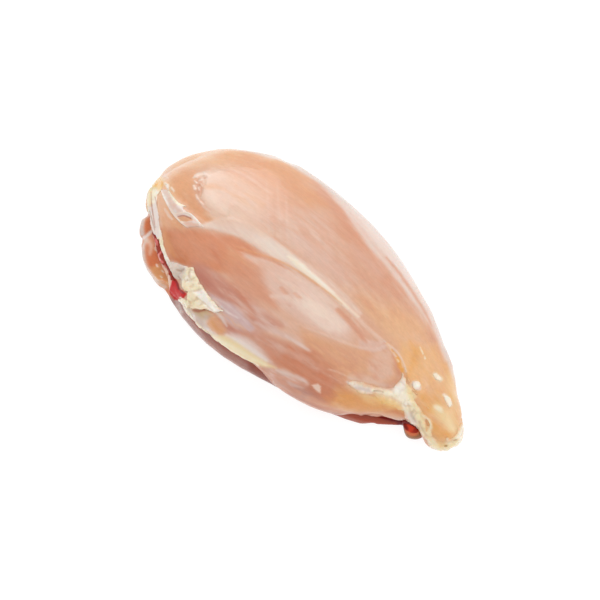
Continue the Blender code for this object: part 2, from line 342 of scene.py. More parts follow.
def move_points(mesh, points):
    """Puts a mesh's vertices at new places."""
    mesh.vertices.foreach_set("co", points.astype(np.float32).ravel())
    mesh.update()


def remeshed(piece, grain):
    """Makes one closed skin of even squares from all that the piece holds."""
    change = piece.modifiers.new("skin", "REMESH")
    change.mode = "VOXEL"
    change.voxel_size = grain
    graph = bpy.context.evaluated_depsgraph_get()
    mesh = bpy.data.meshes.new_from_object(piece.evaluated_get(graph))
    piece.modifiers.clear()
    old = piece.data
    piece.data = mesh
    bpy.data.meshes.remove(old)
    return mesh


def relax(mesh, rounds, back_share=1.04, hold=None):
    """Smooths a mesh where the hold is below 1.

    A back share of 1.04 keeps its size, and 0 lets it shrink a little.
    """
    points = points_of(mesh)
    edges = np.empty(len(mesh.edges) * 2, np.int32)
    mesh.edges.foreach_get("vertices", edges)
    first, second = edges.reshape(-1, 2).T
    total = len(points)
    count = np.bincount(first, minlength=total) + np.bincount(second, minlength=total)
    free = 1.0 if hold is None else (1.0 - hold)[:, None]
    for _ in range(rounds):
        for share in (0.5, -0.5 * back_share):
            if share:
                middle = np.stack([(np.bincount(first, points[second, axis], total)
                                    + np.bincount(second, points[first, axis], total)) / count
                                   for axis in range(3)], axis=1)
                points += (middle - points) * share * free
    move_points(mesh, points)


def divide(mesh, chosen):
    """Cuts each chosen face of a mesh into four."""
    shape = bmesh.new()
    shape.from_mesh(mesh)
    shape.faces.ensure_lookup_table()
    edges = {edge for index in np.flatnonzero(chosen) for edge in shape.faces[index].edges}
    bmesh.ops.subdivide_edges(shape, edges=list(edges), cuts=1, use_grid_fill=True)
    shape.to_mesh(mesh)
    shape.free()
    mesh.update()


class Surface:
    """A piece while its relief and colours are laid on."""

    def __init__(self, mesh, ground):
        self.mesh = mesh
        self.look()
        self.colour = np.zeros((len(self.points), 3))
        self.fat = np.zeros(len(self.points))
        self.wet = np.zeros(len(self.points))
        self.rise = np.zeros(len(self.points))
        self.tint(ground, 1.0)

    def look(self):
        """Reads the mesh's places again."""
        self.points = points_of(self.mesh)
        self.normals = normals_of(self.mesh)
        self.pixels = PICTURE.pixels(self.points)
        self.facing = self.normals @ PICTURE.back
        self.flow = along_meat(self.points)

    def share(self, kind, carrier, soft, ragged, stops, seed):
        """The share of each point that a wash, grain, stroke or laid route covers."""
        stops = np.asarray(stops, float)
        reach = soft + abs(ragged) + 2.0
        answer = np.zeros(len(self.points))
        if kind == "laid":
            places, _, widths = carrier.route(stops)
            scale = MM / PIXELS_PER_MM
            away = beyond(self.points, places, widths, reach * scale) / scale
            near = np.flatnonzero(away < reach)
            away = away[near]
        else:
            dense = flowing(stops, ROUTE_STEP) if kind == "stroke" else stops
            spare = reach + (dense[:, 2].max() if kind == "stroke" else 0.0)
            low, high = dense[:, :2].min(axis=0) - spare, dense[:, :2].max(axis=0) + spare
            near = np.flatnonzero(np.all((self.pixels > low) & (self.pixels < high), axis=1)
                                  & (self.facing > -ROUND_REACH))
            if kind == "stroke":
                away = beyond(self.pixels[near], dense[:, :2], dense[:, 2], reach)
            else:
                away = -inside_outline(self.pixels[near], stops)
        if ragged:
            place = self.flow if soft > FINE_SOFTNESS else self.points
            away = away + ragged * cloud(place[near], RAGGED_GRAIN, seed)
        part = smooth(0.5 - away / soft)
        if kind == "grain":
            part = part * smooth(0.5 + FIBRE_CONTRAST * cloud(self.flow[near], FIBRE_GRAIN, seed + 50))
        if kind != "laid":
            part = part * smooth((self.facing[near] + ROUND_REACH) / ROUND_REACH)
        answer[near] = part
        return answer

    def beside(self, carrier, stops, soft):
        """The share of each point that lies beside a route laid on the meat."""
        return self.share("laid", carrier, soft, 0.0, stops, 1)

    def lay(self, carrier, layers):
        """Paints layers over the piece in their order, with what each one stands proud."""
        for number, (kind, colour, soft, ragged, amount, height, stops) in enumerate(layers):
            part = self.share(kind, carrier, soft, ragged, stops, number + 1)
            self.rise += height * MM * part
            if amount:
                self.tint(colour, amount * part)

    def tint(self, name, share):
        """Lays a colour over the piece, with its share of fat and of wetness."""
        share = np.broadcast_to(share, len(self.points))
        self.colour += (tone(name) - self.colour) * share[:, None]
        fat, wet = FINISHES.get(name, MEAT_FINISH)
        self.fat += (fat - self.fat) * share
        self.wet += (wet - self.wet) * share

    def thin_out(self, carrier, depth):
        """Gives the parts that are thinner than the depth the colour of the meat that they lie on."""
        away, under = carrier.nearest(self.points)
        share = 1.0 - smooth(away / depth)
        self.colour += (under - self.colour) * share[:, None]
        self.fat -= THIN_LOSS * self.fat * share

    def shift(self, ways):
        """Moves the points."""
        move_points(self.mesh, self.points + ways)
        self.look()

    def pull(self, carrier, pulls):
        """Draws the outline in or out along routes."""
        for soft, way, stops in pulls:
            self.shift(self.beside(carrier, stops, soft)[:, None] * np.array(way) * MM)

    def lift(self, height):
        """Moves the points outward by their heights."""
        self.shift(self.normals * height[:, None])

    def settle(self):
        """Keeps the piece on the floor."""
        ways = np.zeros_like(self.points)
        ways[:, 2] = np.maximum(-self.points[:, 2], 0.0)
        self.shift(ways)

    def store(self, shine=WET_SHINE):
        """Writes the colours without the white shine, the fat share and the wetness to the mesh."""
        own = np.clip((linear(self.colour) - shine) / LIGHT_GAIN, DARKEST, LIGHTEST)
        full = np.ones(len(own))
        for name, columns in (("paint", (own[:, 0], own[:, 1], own[:, 2], full)),
                              ("finish", (self.fat, self.wet, 0.0 * full, full))):
            layer = self.mesh.color_attributes.new(name, "FLOAT_COLOR", "POINT")
            layer.data.foreach_set("color", np.stack(columns, axis=1).astype(np.float32).ravel())
        self.mesh.shade_smooth()


class Socket:
    """A socket that takes part in sums written as Python, each of which adds a Math node."""

    def __init__(self, recipe, socket):
        self.recipe = recipe
        self.socket = socket

    def sum_with(self, other, operation, swapped=False):
        """One Math node on this socket and another value."""
        pair = (other, self) if swapped else (self, other)
        return self.recipe.node("ShaderNodeMath", {"operation": operation}, {0: pair[0], 1: pair[1]})

    def __add__(self, other):
        return self.sum_with(other, "ADD")

    __radd__ = __add__

    def __mul__(self, other):
        return self.sum_with(other, "MULTIPLY")

    __rmul__ = __mul__

    def __sub__(self, other):
        return self.sum_with(other, "SUBTRACT")

    def __rsub__(self, other):
        return self.sum_with(other, "SUBTRACT", swapped=True)


class Recipe:
    """A material and its nodes."""

    def __init__(self, name):
        self.material = bpy.data.materials.new(name)
        self.material.use_nodes = True
        self.tree = self.material.node_tree
        self.tree.nodes.clear()

    def node(self, kind, settings=None, values=None, output=0):
        """A node of a kind, its settings first, then the values or links of its sockets."""
        made = self.tree.nodes.new(kind)
        for name, value in (settings or {}).items():
            setattr(made, name, value)
        for name, value in (values or {}).items():
            if isinstance(value, Socket):
                self.tree.links.new(value.socket, made.inputs[name])
            else:
                made.inputs[name].default_value = value
        return Socket(self, made.outputs[output])

    def layer(self, name, channel):
        """One channel of a colour layer of the mesh, or the whole colour."""
        whole = self.node("ShaderNodeVertexColor", {"layer_name": name})
        if channel is None:
            return whole
        return self.node("ShaderNodeSeparateColor", {}, {0: whole}, channel)

    def grain(self, stretch, scale, detail=4.0, roughness=0.55):
        """Random values from 0 to 1 over the piece's own places, with the places stretched if asked."""
        place = self.node("ShaderNodeTexCoord", output="Object")
        if stretch is not None:
            place = self.node("ShaderNodeVectorMath", {"operation": "MULTIPLY"}, {0: place, 1: stretch})
        return self.node("ShaderNodeTexNoise", {"noise_dimensions": "3D"},
                         {"Vector": place, "Scale": scale, "Detail": detail, "Roughness": roughness})

    def surface(self, values, relief, relief_depth):
        """Ends the material with one shader and its relief."""
        bump = self.node("ShaderNodeBump", {},
                         {"Height": relief, "Distance": relief_depth, "Strength": RELIEF_STRENGTH})
        shader = self.node("ShaderNodeBsdfPrincipled", {}, {**values, "Normal": bump})
        return self.end(shader)

    def end(self, shader):
        """Joins the shader to the material's output."""
        end = self.tree.nodes.new("ShaderNodeOutputMaterial")
        self.tree.links.new(shader.socket, end.inputs["Surface"])
        return self.material


def wet_finish(name, streaks, pits, relief_depth, roughness, sheer, glow_depth, shine=0.5):
    """A moist finish that takes its colour, fat and wetness from the piece's own layers."""
    recipe = Recipe(name)
    paint = recipe.layer("paint", None)
    fat = recipe.layer("finish", "Red")
    wet = recipe.layer("finish", "Green")
    fibres = recipe.grain((FIBRE_STRETCH, 1.0, 1.0), 1500.0, 4.0)
    mottle = recipe.grain(None, 420.0, 5.0)
    fine = recipe.grain(None, 2600.0, 3.0)
    lean = 1.0 - fat
    level = 1.0 + (fibres - 0.5) * lean * streaks + (mottle - 0.5) * pits
    toned = recipe.node("ShaderNodeVectorMath", {"operation": "SCALE"}, {0: paint, "Scale": level})
    relief = fibres * lean * streaks + mottle * pits + fine * 0.12
    return recipe.surface({
        "Base Color": toned,
        "Roughness": roughness - wet * 0.16 + (mottle - 0.5) * 0.16,
        "Specular IOR Level": shine,
        "Coat Weight": (0.35 + wet * 0.65) * (shine * 2.0),
        "Coat Roughness": 0.14,
        "Coat IOR": 1.4,
        "IOR": 1.42,
        "Subsurface Weight": sheer,
        "Subsurface Radius": (1.0, 0.42, 0.26),
        "Subsurface Scale": glow_depth,
    }, relief, relief_depth)


# Colours as they show in the photograph, 0 to 255; some are painted sheen, glints and shade
COLOURS = {
    "tan": (223, 174, 147), "under": (222, 176, 156), "peach": (237, 188, 145),
    "tangerine": (230, 169, 126), "rose": (229, 191, 171), "salmon": (219, 158, 130),
    "honey": (234, 186, 147), "apricot": (237, 185, 132), "rust": (219, 148, 114),
    "umber": (203, 124, 84), "clay": (212, 138, 108), "mauve": (203, 140, 122), "wine": (197, 128, 111),
    "blush": (229, 194, 177), "brick": (208, 139, 110), "ochre": (226, 171, 134),
    "amber": (224, 160, 106), "gold": (236, 168, 92), "pearl": (234, 201, 179),
    "gleam": (243, 221, 204), "tendon": (237, 215, 200), "cord": (246, 231, 210),
    "silver": (213, 182, 180), "haze": (225, 192, 180), "bright": (238, 213, 198),
    "edge": (238, 208, 190), "rim_pink": (208, 148, 123), "rim_dusk": (184, 130, 116),
    "rim_white": (236, 218, 209), "rim_grey": (226, 212, 205), "cream": (247, 235, 208),
    "butter": (241, 220, 174), "yolk": (243, 192, 112), "milk": (250, 243, 234),
    "film": (232, 216, 208), "blood": (208, 74, 54), "smear": (206, 44, 34), "clot": (130, 50, 46),
    "gore": (226, 128, 122), "russet": (152, 70, 60), "liver": (174, 90, 72), "dusk": (150, 88, 76),
    "plum": (178, 138, 132), "lobe": (221, 144, 108), "lobe_deep": (214, 120, 78),
    "crust": (150, 106, 66), "shade": (176, 108, 86), "slit": (150, 112, 90), "dim": (214, 196, 186),
    "crease": (212, 184, 152),
}
# The fat and the wetness that come with a colour, from 0 to 1, or below 0 where it is duller than any meat
FINISHES = {
    "cream": (1.0, 0.4), "butter": (1.0, 0.4), "yolk": (0.8, 0.5), "milk": (1.0, 0.6),
    "film": (0.8, 0.8), "cord": (0.8, 0.6), "tendon": (0.5, 0.7), "edge": (0.6, 0.7),
    "silver": (0.3, 0.9), "pearl": (0.4, 0.9), "gleam": (0.5, 1.0), "rim_white": (0.4, 0.9),
    "blood": (1.0, 1.0), "clot": (0.5, 0.1), "gore": (1.0, 1.0), "russet": (1.0, 1.0),
    "dim": (1.0, 0.5), "slit": (1.0, 0.4), "crease": (1.0, 0.4), "dusk": (0.0, 0.0),
    "rim_dusk": (0.0, 0.1), "rim_pink": (0.0, 0.2), "liver": (0.0, 0.1), "smear": (0.1, -0.5),
}
# The same for a colour that isn't listed there
MEAT_FINISH = (0.0, 0.5)
# Places that show fine detail, where the skin is divided twice
DETAIL_OUTLINES = (
    ((140, 178), (160, 166), (200, 166), (212, 190), (226, 214), (262, 224), (300, 252), (350, 300),
     (410, 356), (396, 360), (350, 318), (300, 276), (262, 256), (236, 242), (200, 234), (166, 240),
     (182, 262), (200, 266), (230, 310), (236, 334), (282, 366), (276, 376), (225, 356), (180, 314),
     (160, 262), (146, 216)),
    ((340, 376), (384, 382), (376, 332), (400, 340), (434, 344), (462, 400), (470, 436), (456, 456),
     (424, 446), (398, 424), (394, 408), (366, 400)),
)
# Where the outline is drawn in or out: softness in pixels, way in mm, then (pixel, pixel, half width) stops
EDGE_PULLS = (
    (26.0, (0.0, 3.0, 0.6), ((184, 309, 2), (192, 322, 4), (204, 335, 6), (220, 349, 6), (238, 359, 4),
     (252, 366, 1))),
    (16.0, (0.4, 2.6, 1.1), ((238, 361, 1), (250, 368, 4), (260, 374, 4), (268, 380, 1))),
    (70.0, (2.6, -2.6, -2.2), ((164, 164, 3), (178, 155, 5), (194, 149, 2))),
    (16.0, (-1.3, -1.3, 0.0), ((151, 182, 1), (147, 190, 3), (146, 200, 3), (148, 211, 1))),
    (18.0, (0.1, 1.4, 0.5), ((418, 440, 1), (424, 446, 3), (432, 452, 2))),
    (22.0, (0.9, 0.9, 0.0), ((446, 352, 1), (453, 372, 3), (459, 396, 3), (462, 414, 2))),
    (40.0, (-0.4, 1.1, 0.7), ((230, 152, 1), (262, 155, 4), (290, 164, 4), (318, 181, 4), (345, 203, 1))),
    (22.0, (-1.3, 1.3, 1.1), ((350, 416, 1), (362, 418, 3), (376, 418, 3), (386, 420, 1))),
)
INNER_PULLS = (
    (26.0, (-1.1, 1.9, 1.2), ((372, 426, 1), (388, 429, 3), (402, 428, 2))),
    (26.0, (4.0, 4.0, 0.3), ((396, 414, 2), (396, 424, 4), (399, 434, 3))),
    (16.0, (0.1, 1.5, 0.6), ((146, 270, 1), (154, 281, 3), (164, 290, 3), (174, 299, 2))),
    (12.0, (1.6, -1.4, -1.2), ((145, 212, 2), (149, 214, 2))),
    (14.0, (0.8, 3.6, 0.8), ((162, 286, 2), (168, 292, 4), (172, 299, 4), (176, 306, 1))),
    (12.0, (1.7, 2.3, 0.0), ((164, 290, 2), (168, 295, 3), (172, 301, 3), (177, 308, 1))),
    (16.0, (-0.9, -0.9, 0.0), ((144, 220, 1), (142, 232, 2), (144, 246, 3), (145, 258, 2), (149, 268, 1))),
)
# Edges where bumps are evened out
NEAR_EDGE = ((172, 304, 6), (186, 322, 7), (200, 337, 8), (217, 349, 8), (235, 361, 8), (252, 370, 7),
             (264, 378, 5), (276, 386, 3))
STRIP_EDGE = ((336, 411, 3), (350, 414, 4), (366, 417, 5), (382, 419, 5), (398, 421, 3))
BLUNT_CORNER = ((164, 170, 5), (174, 163, 7), (186, 157, 7), (200, 153, 5))
# Where the tip's bumps start to be evened out, and over what length
TIP_FROM = 58.0 * MM
TIP_FADE = 14.0 * MM
# Layers of paint are (kind, colour, softness and raggedness in pixels, amount, height in mm, places).
# A wash fills an outline of (pixel, pixel) corners, and a grain fills one in fibres.
# A stroke follows a route of (pixel, pixel, half width) stops, and a laid one lies round the meat as well.

# Broad colours of the skin side
SKIN_SIDE = (
    ("wash", "peach", 18, 2, 0.95, 0,
     ((144, 206), (156, 168), (182, 146), (220, 140), (262, 142), (300, 158), (322, 178), (306, 184),
      (286, 176), (262, 168), (236, 165), (204, 166), (190, 176), (186, 196), (170, 208), (154, 218))),
    ("wash", "tangerine", 9, 2, 0.9, 0,
     ((168, 176), (182, 168), (196, 170), (193, 188), (199, 204), (214, 214), (226, 222), (206, 226),
      (190, 212), (180, 202))),
    ("wash", "tangerine", 6, 2, 0.75, 0,
     ((157, 192), (165, 200), (174, 216), (186, 230), (166, 232), (159, 214))),
    ("wash", "rose", 22, 3, 0.9, 0,
     ((236, 176), (262, 176), (300, 190), (336, 210), (352, 236), (338, 262), (304, 256), (272, 234),
      (236, 220), (214, 214), (222, 192))),
    ("wash", "tan", 18, 3, 0.9, 0,
     ((280, 168), (306, 176), (345, 200), (386, 240), (412, 282), (430, 322), (410, 330), (388, 310),
      (358, 288), (336, 262), (334, 236), (320, 208), (300, 190))),
    ("wash", "salmon", 9, 4, 0.6, 0,
     ((312, 182), (330, 193), (348, 213), (362, 238), (384, 264), (408, 296), (398, 298), (370, 270),
      (350, 244), (334, 214), (316, 192))),
    ("wash", "honey", 18, 3, 0.9, 0,
     ((346, 288), (392, 300), (424, 322), (440, 366), (452, 404), (430, 410), (410, 376), (394, 346))),
    ("stroke", "rose", 16, 4, 0.4, 0, ((344, 268, 5), (366, 288, 8), (386, 306, 5))),
    ("stroke", "peach", 12, 3, 0.5, 0, ((388, 312, 4), (404, 322, 6), (416, 334, 4))),
    ("stroke", "salmon", 8, 3, 0.4, 0, ((350, 290, 1), (366, 304, 2.4), (380, 320, 2))),
    ("stroke", "rose", 14, 4, 0.7, 0, ((300, 236, 3), (322, 258, 6), (342, 278, 6), (352, 292, 3))),
    ("wash", "tangerine", 16, 5, 0.85, 0,
     ((216, 156), (262, 154), (302, 174), (326, 206), (304, 206), (272, 190), (246, 172))),
    ("grain", "salmon", 14, 3, 0.28, 0,
     ((240, 150), (300, 168), (360, 226), (400, 290), (396, 330), (350, 292), (300, 240), (250, 214),
      (236, 180))),
    ("grain", "bright", 14, 3, 0.26, 0,
     ((240, 178), (300, 196), (350, 240), (346, 268), (300, 246), (250, 222))),
)
# Bare flesh below the tendon
BELOW_TENDON = (
    ("wash", "rust", 8, 4, 0.95, 0,
     ((160, 229), (180, 230), (206, 232), (232, 237), (246, 244), (258, 254), (276, 262), (292, 272),
      (262, 276), (236, 276), (214, 272), (194, 268), (184, 270), (172, 264), (163, 248))),
    # Darker flesh at the left, where the flank turns down: its own deeper colour with painted shade
    ("wash", "umber", 8, 2, 0.8, 0,
     ((162, 230), (170, 234), (176, 244), (186, 256), (190, 266), (178, 266), (170, 258), (165, 246))),
    ("wash", "salmon", 16, 4, 0.55, 0, ((194, 242), (212, 248), (216, 258), (204, 264), (192, 256))),
    ("stroke", "clay", 7, 3, 0.7, 0, ((212, 244, 2), (216, 254, 4), (220, 264, 2))),
    ("grain", "ochre", 8, 3, 0.5, 0, ((228, 246), (256, 262), (262, 290), (240, 276), (226, 262))),
    ("wash", "salmon", 18, 5, 0.85, 0,
     ((226, 264), (262, 266), (284, 288), (276, 308), (252, 300), (232, 284))),
    ("stroke", "blush", 10, 4, 0.55, 0, ((244, 254, 2), (258, 264, 4), (268, 276, 4), (276, 288, 2))),
    ("wash", "mauve", 12, 5, 0.85, 0,
     ((191, 262), (208, 266), (226, 280), (246, 294), (262, 312), (280, 326), (262, 332), (240, 318),
      (222, 304), (206, 292), (196, 278))),
    ("stroke", "wine", 7, 3, 0.75, 0, ((194, 268, 1), (202, 278, 4), (211, 288, 4), (222, 297, 2))),
    ("stroke", "clay", 7, 3, 0.5, 0, ((238, 290, 2), (245, 300, 3), (252, 314, 2))),
    ("grain", "blush", 9, 3, 0.45, 0,
     ((206, 270), (230, 280), (252, 300), (270, 322), (250, 316), (224, 298))),
    ("wash", "wine", 9, 3, 0.75, 0,
     ((216, 316), (236, 328), (256, 332), (262, 338), (244, 342), (226, 334), (216, 324))),
    ("wash", "blush", 12, 5, 0.95, 0,
     ((262, 264), (290, 268), (322, 292), (352, 326), (350, 342), (326, 334), (300, 322), (280, 308),
      (268, 288))),
    ("wash", "ochre", 12, 4, 0.95, 0,
     ((300, 328), (330, 341), (386, 353), (404, 366), (404, 384), (370, 388), (336, 388), (318, 368),
      (306, 352))),
    ("wash", "blush", 9, 4, 0.6, 0,
     ((370, 352), (388, 352), (394, 362), (394, 376), (380, 380), (368, 370))),
    ("stroke", "salmon", 6, 2, 0.8, 0,
     ((394, 356, 1), (397, 366, 2.4), (398, 378, 2), (390, 385, 2), (382, 384, 1))),
    ("stroke", "blush", 8, 3, 0.6, 0, ((350, 375, 1), (362, 377, 3), (374, 379, 3))),
    ("grain", "salmon", 10, 3, 0.5, 0,
     ((306, 340), (350, 352), (384, 362), (376, 384), (336, 384), (312, 364))),
    ("wash", "brick", 9, 5, 0.95, 0,
     ((243, 334), (264, 333), (288, 342), (312, 352), (332, 368), (346, 384), (338, 398), (318, 398),
      (304, 386), (288, 372), (268, 362), (254, 348))),
    ("grain", "clay", 9, 4, 0.6, 0,
     ((262, 340), (292, 350), (330, 376), (336, 394), (304, 380), (272, 360))),
    ("grain", "haze", 8, 3, 0.45, 0,
     ((256, 336), (292, 346), (322, 366), (318, 372), (282, 354), (256, 344))),
    ("wash", "brick", 9, 4, 0.6, 0,
     ((318, 386), (350, 390), (366, 398), (350, 406), (326, 402), (300, 394))),
    ("wash", "amber", 12, 4, 0.85, 0,
     ((338, 388), (352, 392), (372, 394), (392, 400), (404, 402), (405, 413), (376, 411), (345, 407),
      (326, 400))),
    ("wash", "butter", 7, 3, 0.6, 0,
     ((348, 386), (372, 394), (392, 398), (404, 404), (404, 411), (388, 407), (364, 400))),
    ("wash", "gold", 8, 3, 0.3, 0,
     ((322, 398), (352, 393), (376, 397), (402, 404), (406, 416), (376, 413), (345, 411))),
    ("wash", "brick", 7, 2, 0.6, 0, ((304, 386), (322, 388), (336, 396), (330, 404), (312, 400))),
    ("stroke", "umber", 5, 1.5, 0.6, 0, ((386, 412, 0.8), (395, 412, 2.2), (403, 415, 2))),
)
# Pale membranes and the tendon, with painted sheen and glints on the membrane patch
MEMBRANES = (
    # The membrane patch: pale in itself, and lighter still with painted sheen
    ("wash", "pearl", 16, 4, 0.7, 0,
     ((200, 176), (214, 171), (234, 172), (252, 182), (270, 198), (262, 214), (240, 221), (222, 218),
      (209, 210), (202, 200))),
    ("wash", "pearl", 2.5, 3, 0.8, 0.10,
     ((203, 172), (216, 170.5), (230, 172), (236, 184), (230, 206), (228, 217), (214, 213), (205, 206),
      (199, 198), (203, 190), (206, 182))),
    ("stroke", "salmon", 18, 4, 0.4, 0, ((256, 180, 4), (274, 196, 6), (290, 210, 5))),
    ("wash", "tangerine", 18, 4, 0.3, 0,
     ((232, 156), (262, 158), (300, 178), (312, 200), (290, 204), (262, 192), (240, 178))),
    ("wash", "haze", 18, 4, 0.35, 0,
     ((286, 232), (318, 244), (346, 262), (352, 286), (330, 282), (306, 262))),
    ("stroke", "tendon", 9, 3, 0.35, 0, ((258, 242, 3), (278, 254, 5), (296, 266, 4))),
    ("stroke", "salmon", 16, 4, 0.25, 0, ((262, 176, 5), (284, 192, 6), (298, 206, 4))),
    ("stroke", "haze", 12, 3, 0.4, 0, ((352, 246, 3), (366, 260, 5), (380, 274, 4))),
    ("stroke", "bright", 12, 3, 0.3, 0, ((294, 276, 3), (316, 290, 5), (336, 308, 4))),
    ("wash", "haze", 10, 3, 0.3, 0, ((236, 324), (262, 330), (286, 344), (280, 360), (254, 350))),
    # Painted sheen on the membrane patch
    ("stroke", "gleam", 8, 3, 0.35, 0, ((208, 177, 3), (218, 175, 3), (228, 178, 2))),
    ("stroke", "gleam", 8, 4, 0.3, 0, ((206, 196, 3), (216, 202, 5), (226, 210, 3))),
    ("grain", "gleam", 6, 3, 0.2, 0,
     ((204, 174), (236, 178), (262, 196), (254, 212), (228, 206), (206, 196))),
    ("wash", "tangerine", 18, 5, 0.3, 0,
     ((222, 164), (256, 170), (300, 192), (312, 214), (284, 208), (250, 194), (224, 182))),
    ("wash", "tan", 22, 5, 0.35, 0,
     ((212, 166), (252, 166), (304, 192), (322, 222), (290, 222), (250, 212), (218, 204))),
    ("grain", "tangerine", 8, 3, 0.3, 0,
     ((208, 182), (240, 186), (270, 204), (262, 210), (232, 198), (210, 190))),
    ("stroke", "tangerine", 5, 2, 0.55, 0, ((207, 187, 2), (214, 186, 2.4), (222, 188, 1))),
    ("stroke", "umber", 4, 2, 0.35, 0, ((196, 181, 1.4), (201, 184, 2.4), (199, 192, 1.6))),
    # Painted highlights: glints on small bumps along the patch's ragged left edge
    ("stroke", "gleam", 2.4, 1.8, 0.9, 0.2,
     ((193, 178, 1), (195.5, 176, 2), (199, 174.5, 2), (204, 174.5, 1.6), (209, 176, 1.2))),
    ("stroke", "gleam", 1.8, 1, 0.9, 0.2, ((194.5, 181, 0.8), (196.5, 183, 1.3))),
    ("stroke", "gleam", 1.8, 1, 0.9, 0.2, ((193.5, 186, 0.8), (195, 189, 1.3))),
    ("stroke", "gleam", 1.8, 1, 0.8, 0.18, ((198.5, 188, 0.9), (199, 190, 1))),
    ("stroke", "gleam", 1.8, 0.8, 0.8, 0.15, ((199, 181, 0.7), (201.5, 180, 0.9))),
    ("stroke", "gleam", 1.8, 0.8, 0.7, 0.15, ((201, 184, 0.7), (202, 186, 0.7))),
    ("stroke", "gleam", 1.8, 0.8, 0.8, 0.15, ((196, 195, 0.7), (197.5, 198.5, 1.1))),
    ("stroke", "gleam", 1.8, 0.8, 0.7, 0.12, ((200, 202, 0.7), (203, 204.5, 0.9))),
    ("stroke", "umber", 1.6, 0.6, 0.4, -0.12, ((197.5, 179.5, 0.5), (199, 178.5, 0.6))),
    ("stroke", "umber", 1.6, 0.6, 0.4, -0.12, ((197.5, 185.5, 0.6), (199.5, 185, 0.8))),
    ("stroke", "umber", 1.6, 0.6, 0.35, -0.12, ((201.5, 188.5, 0.6), (201.5, 193, 0.8), (200.5, 197, 0.5))),
    ("stroke", "umber", 1.6, 0.6, 0.35, -0.1, ((203.5, 178.5, 0.5), (206, 178, 0.6))),
    ("stroke", "edge", 2.2, 1, 0.7, 0.1,
     ((198, 199, 0.8), (203, 206, 1), (210, 211.5, 1), (217, 215, 0.8))),
    ("stroke", "pearl", 5, 2, 0.8, 0, ((212, 213, 1), (222, 219, 2), (236, 223, 2))),
    ("stroke", "rose", 4, 2, 0.6, 0, ((184, 226, 1), (196, 226, 1.4), (206, 227, 1))),
    ("wash", "tendon", 4.5, 1.6, 0.95, 0.1,
     ((198, 226), (208, 222), (220, 218), (232, 218), (246, 224), (260, 231), (272, 238), (286, 247),
      (298, 257), (308, 269), (316, 280), (302, 273), (288, 264), (274, 257), (262, 251), (250, 244),
      (240, 238), (226, 233), (212, 229), (200, 227.5))),
    ("wash", "pearl", 10, 3, 0.7, 0,
     ((206, 214), (232, 210), (256, 222), (276, 236), (262, 236), (240, 226), (216, 222))),
    ("stroke", "cord", 8, 3, 0.5, 0,
     ((258, 241, 1.4), (268, 246, 4), (278, 251, 5), (290, 258, 4.4), (302, 268, 2))),
    ("grain", "haze", 5, 2, 0.2, 0,
     ((206, 222), (240, 222), (270, 238), (296, 258), (286, 262), (250, 246), (214, 231))),
    ("stroke", "rim_white", 9, 3, 0.45, 0, ((256, 236, 2), (272, 246, 4), (286, 256, 4), (296, 264, 2))),
    ("stroke", "blush", 8, 2, 0.95, 0,
     ((246, 256, 1), (256, 259, 3), (268, 262, 4), (280, 268, 4), (294, 276, 3.4), (310, 287, 2.4))),
    ("stroke", "bright", 6, 2, 0.8, 0,
     ((300, 262, 2), (314, 273, 4), (330, 286, 4), (346, 300, 3), (360, 313, 2))),
    ("stroke", "bright", 7, 3, 0.5, 0, ((288, 272, 2), (304, 282, 3), (320, 294, 3), (336, 306, 2))),
    ("stroke", "cord", 3.4, 0.8, 0.95, 0.22,
     ((288, 257, 1), (299, 265.5, 3), (308, 273, 3.4), (322, 284.5, 3), (337, 298, 2.3), (350, 310, 1.7),
      (358, 317, 1))),
    ("stroke", "edge", 4, 1.2, 0.8, 0.12,
     ((350, 310, 1), (362, 321.5, 1.4), (373, 332, 1.2), (384, 341, 0.9))),
    ("stroke", "milk", 2.4, 0.6, 0.5, 0.05, ((300, 264.5, 0.8), (316, 278, 1.1), (334, 293, 0.8))),
    ("stroke", "rust", 2.2, 0.5, 0.35, -0.12,
     ((238, 249.5, 0.4), (256, 255.5, 0.7), (272, 261, 0.7), (288, 269, 0.5), (302, 279, 0.3))),
    ("stroke", "tangerine", 2, 0.4, 0.6, 0.1,
     ((236, 246.5, 0.4), (250, 251, 0.8), (264, 255.5, 0.9), (278, 260.5, 0.9), (292, 267.5, 1),
      (306, 276.5, 1), (326, 291, 0.9), (342, 304, 0.5))),
)
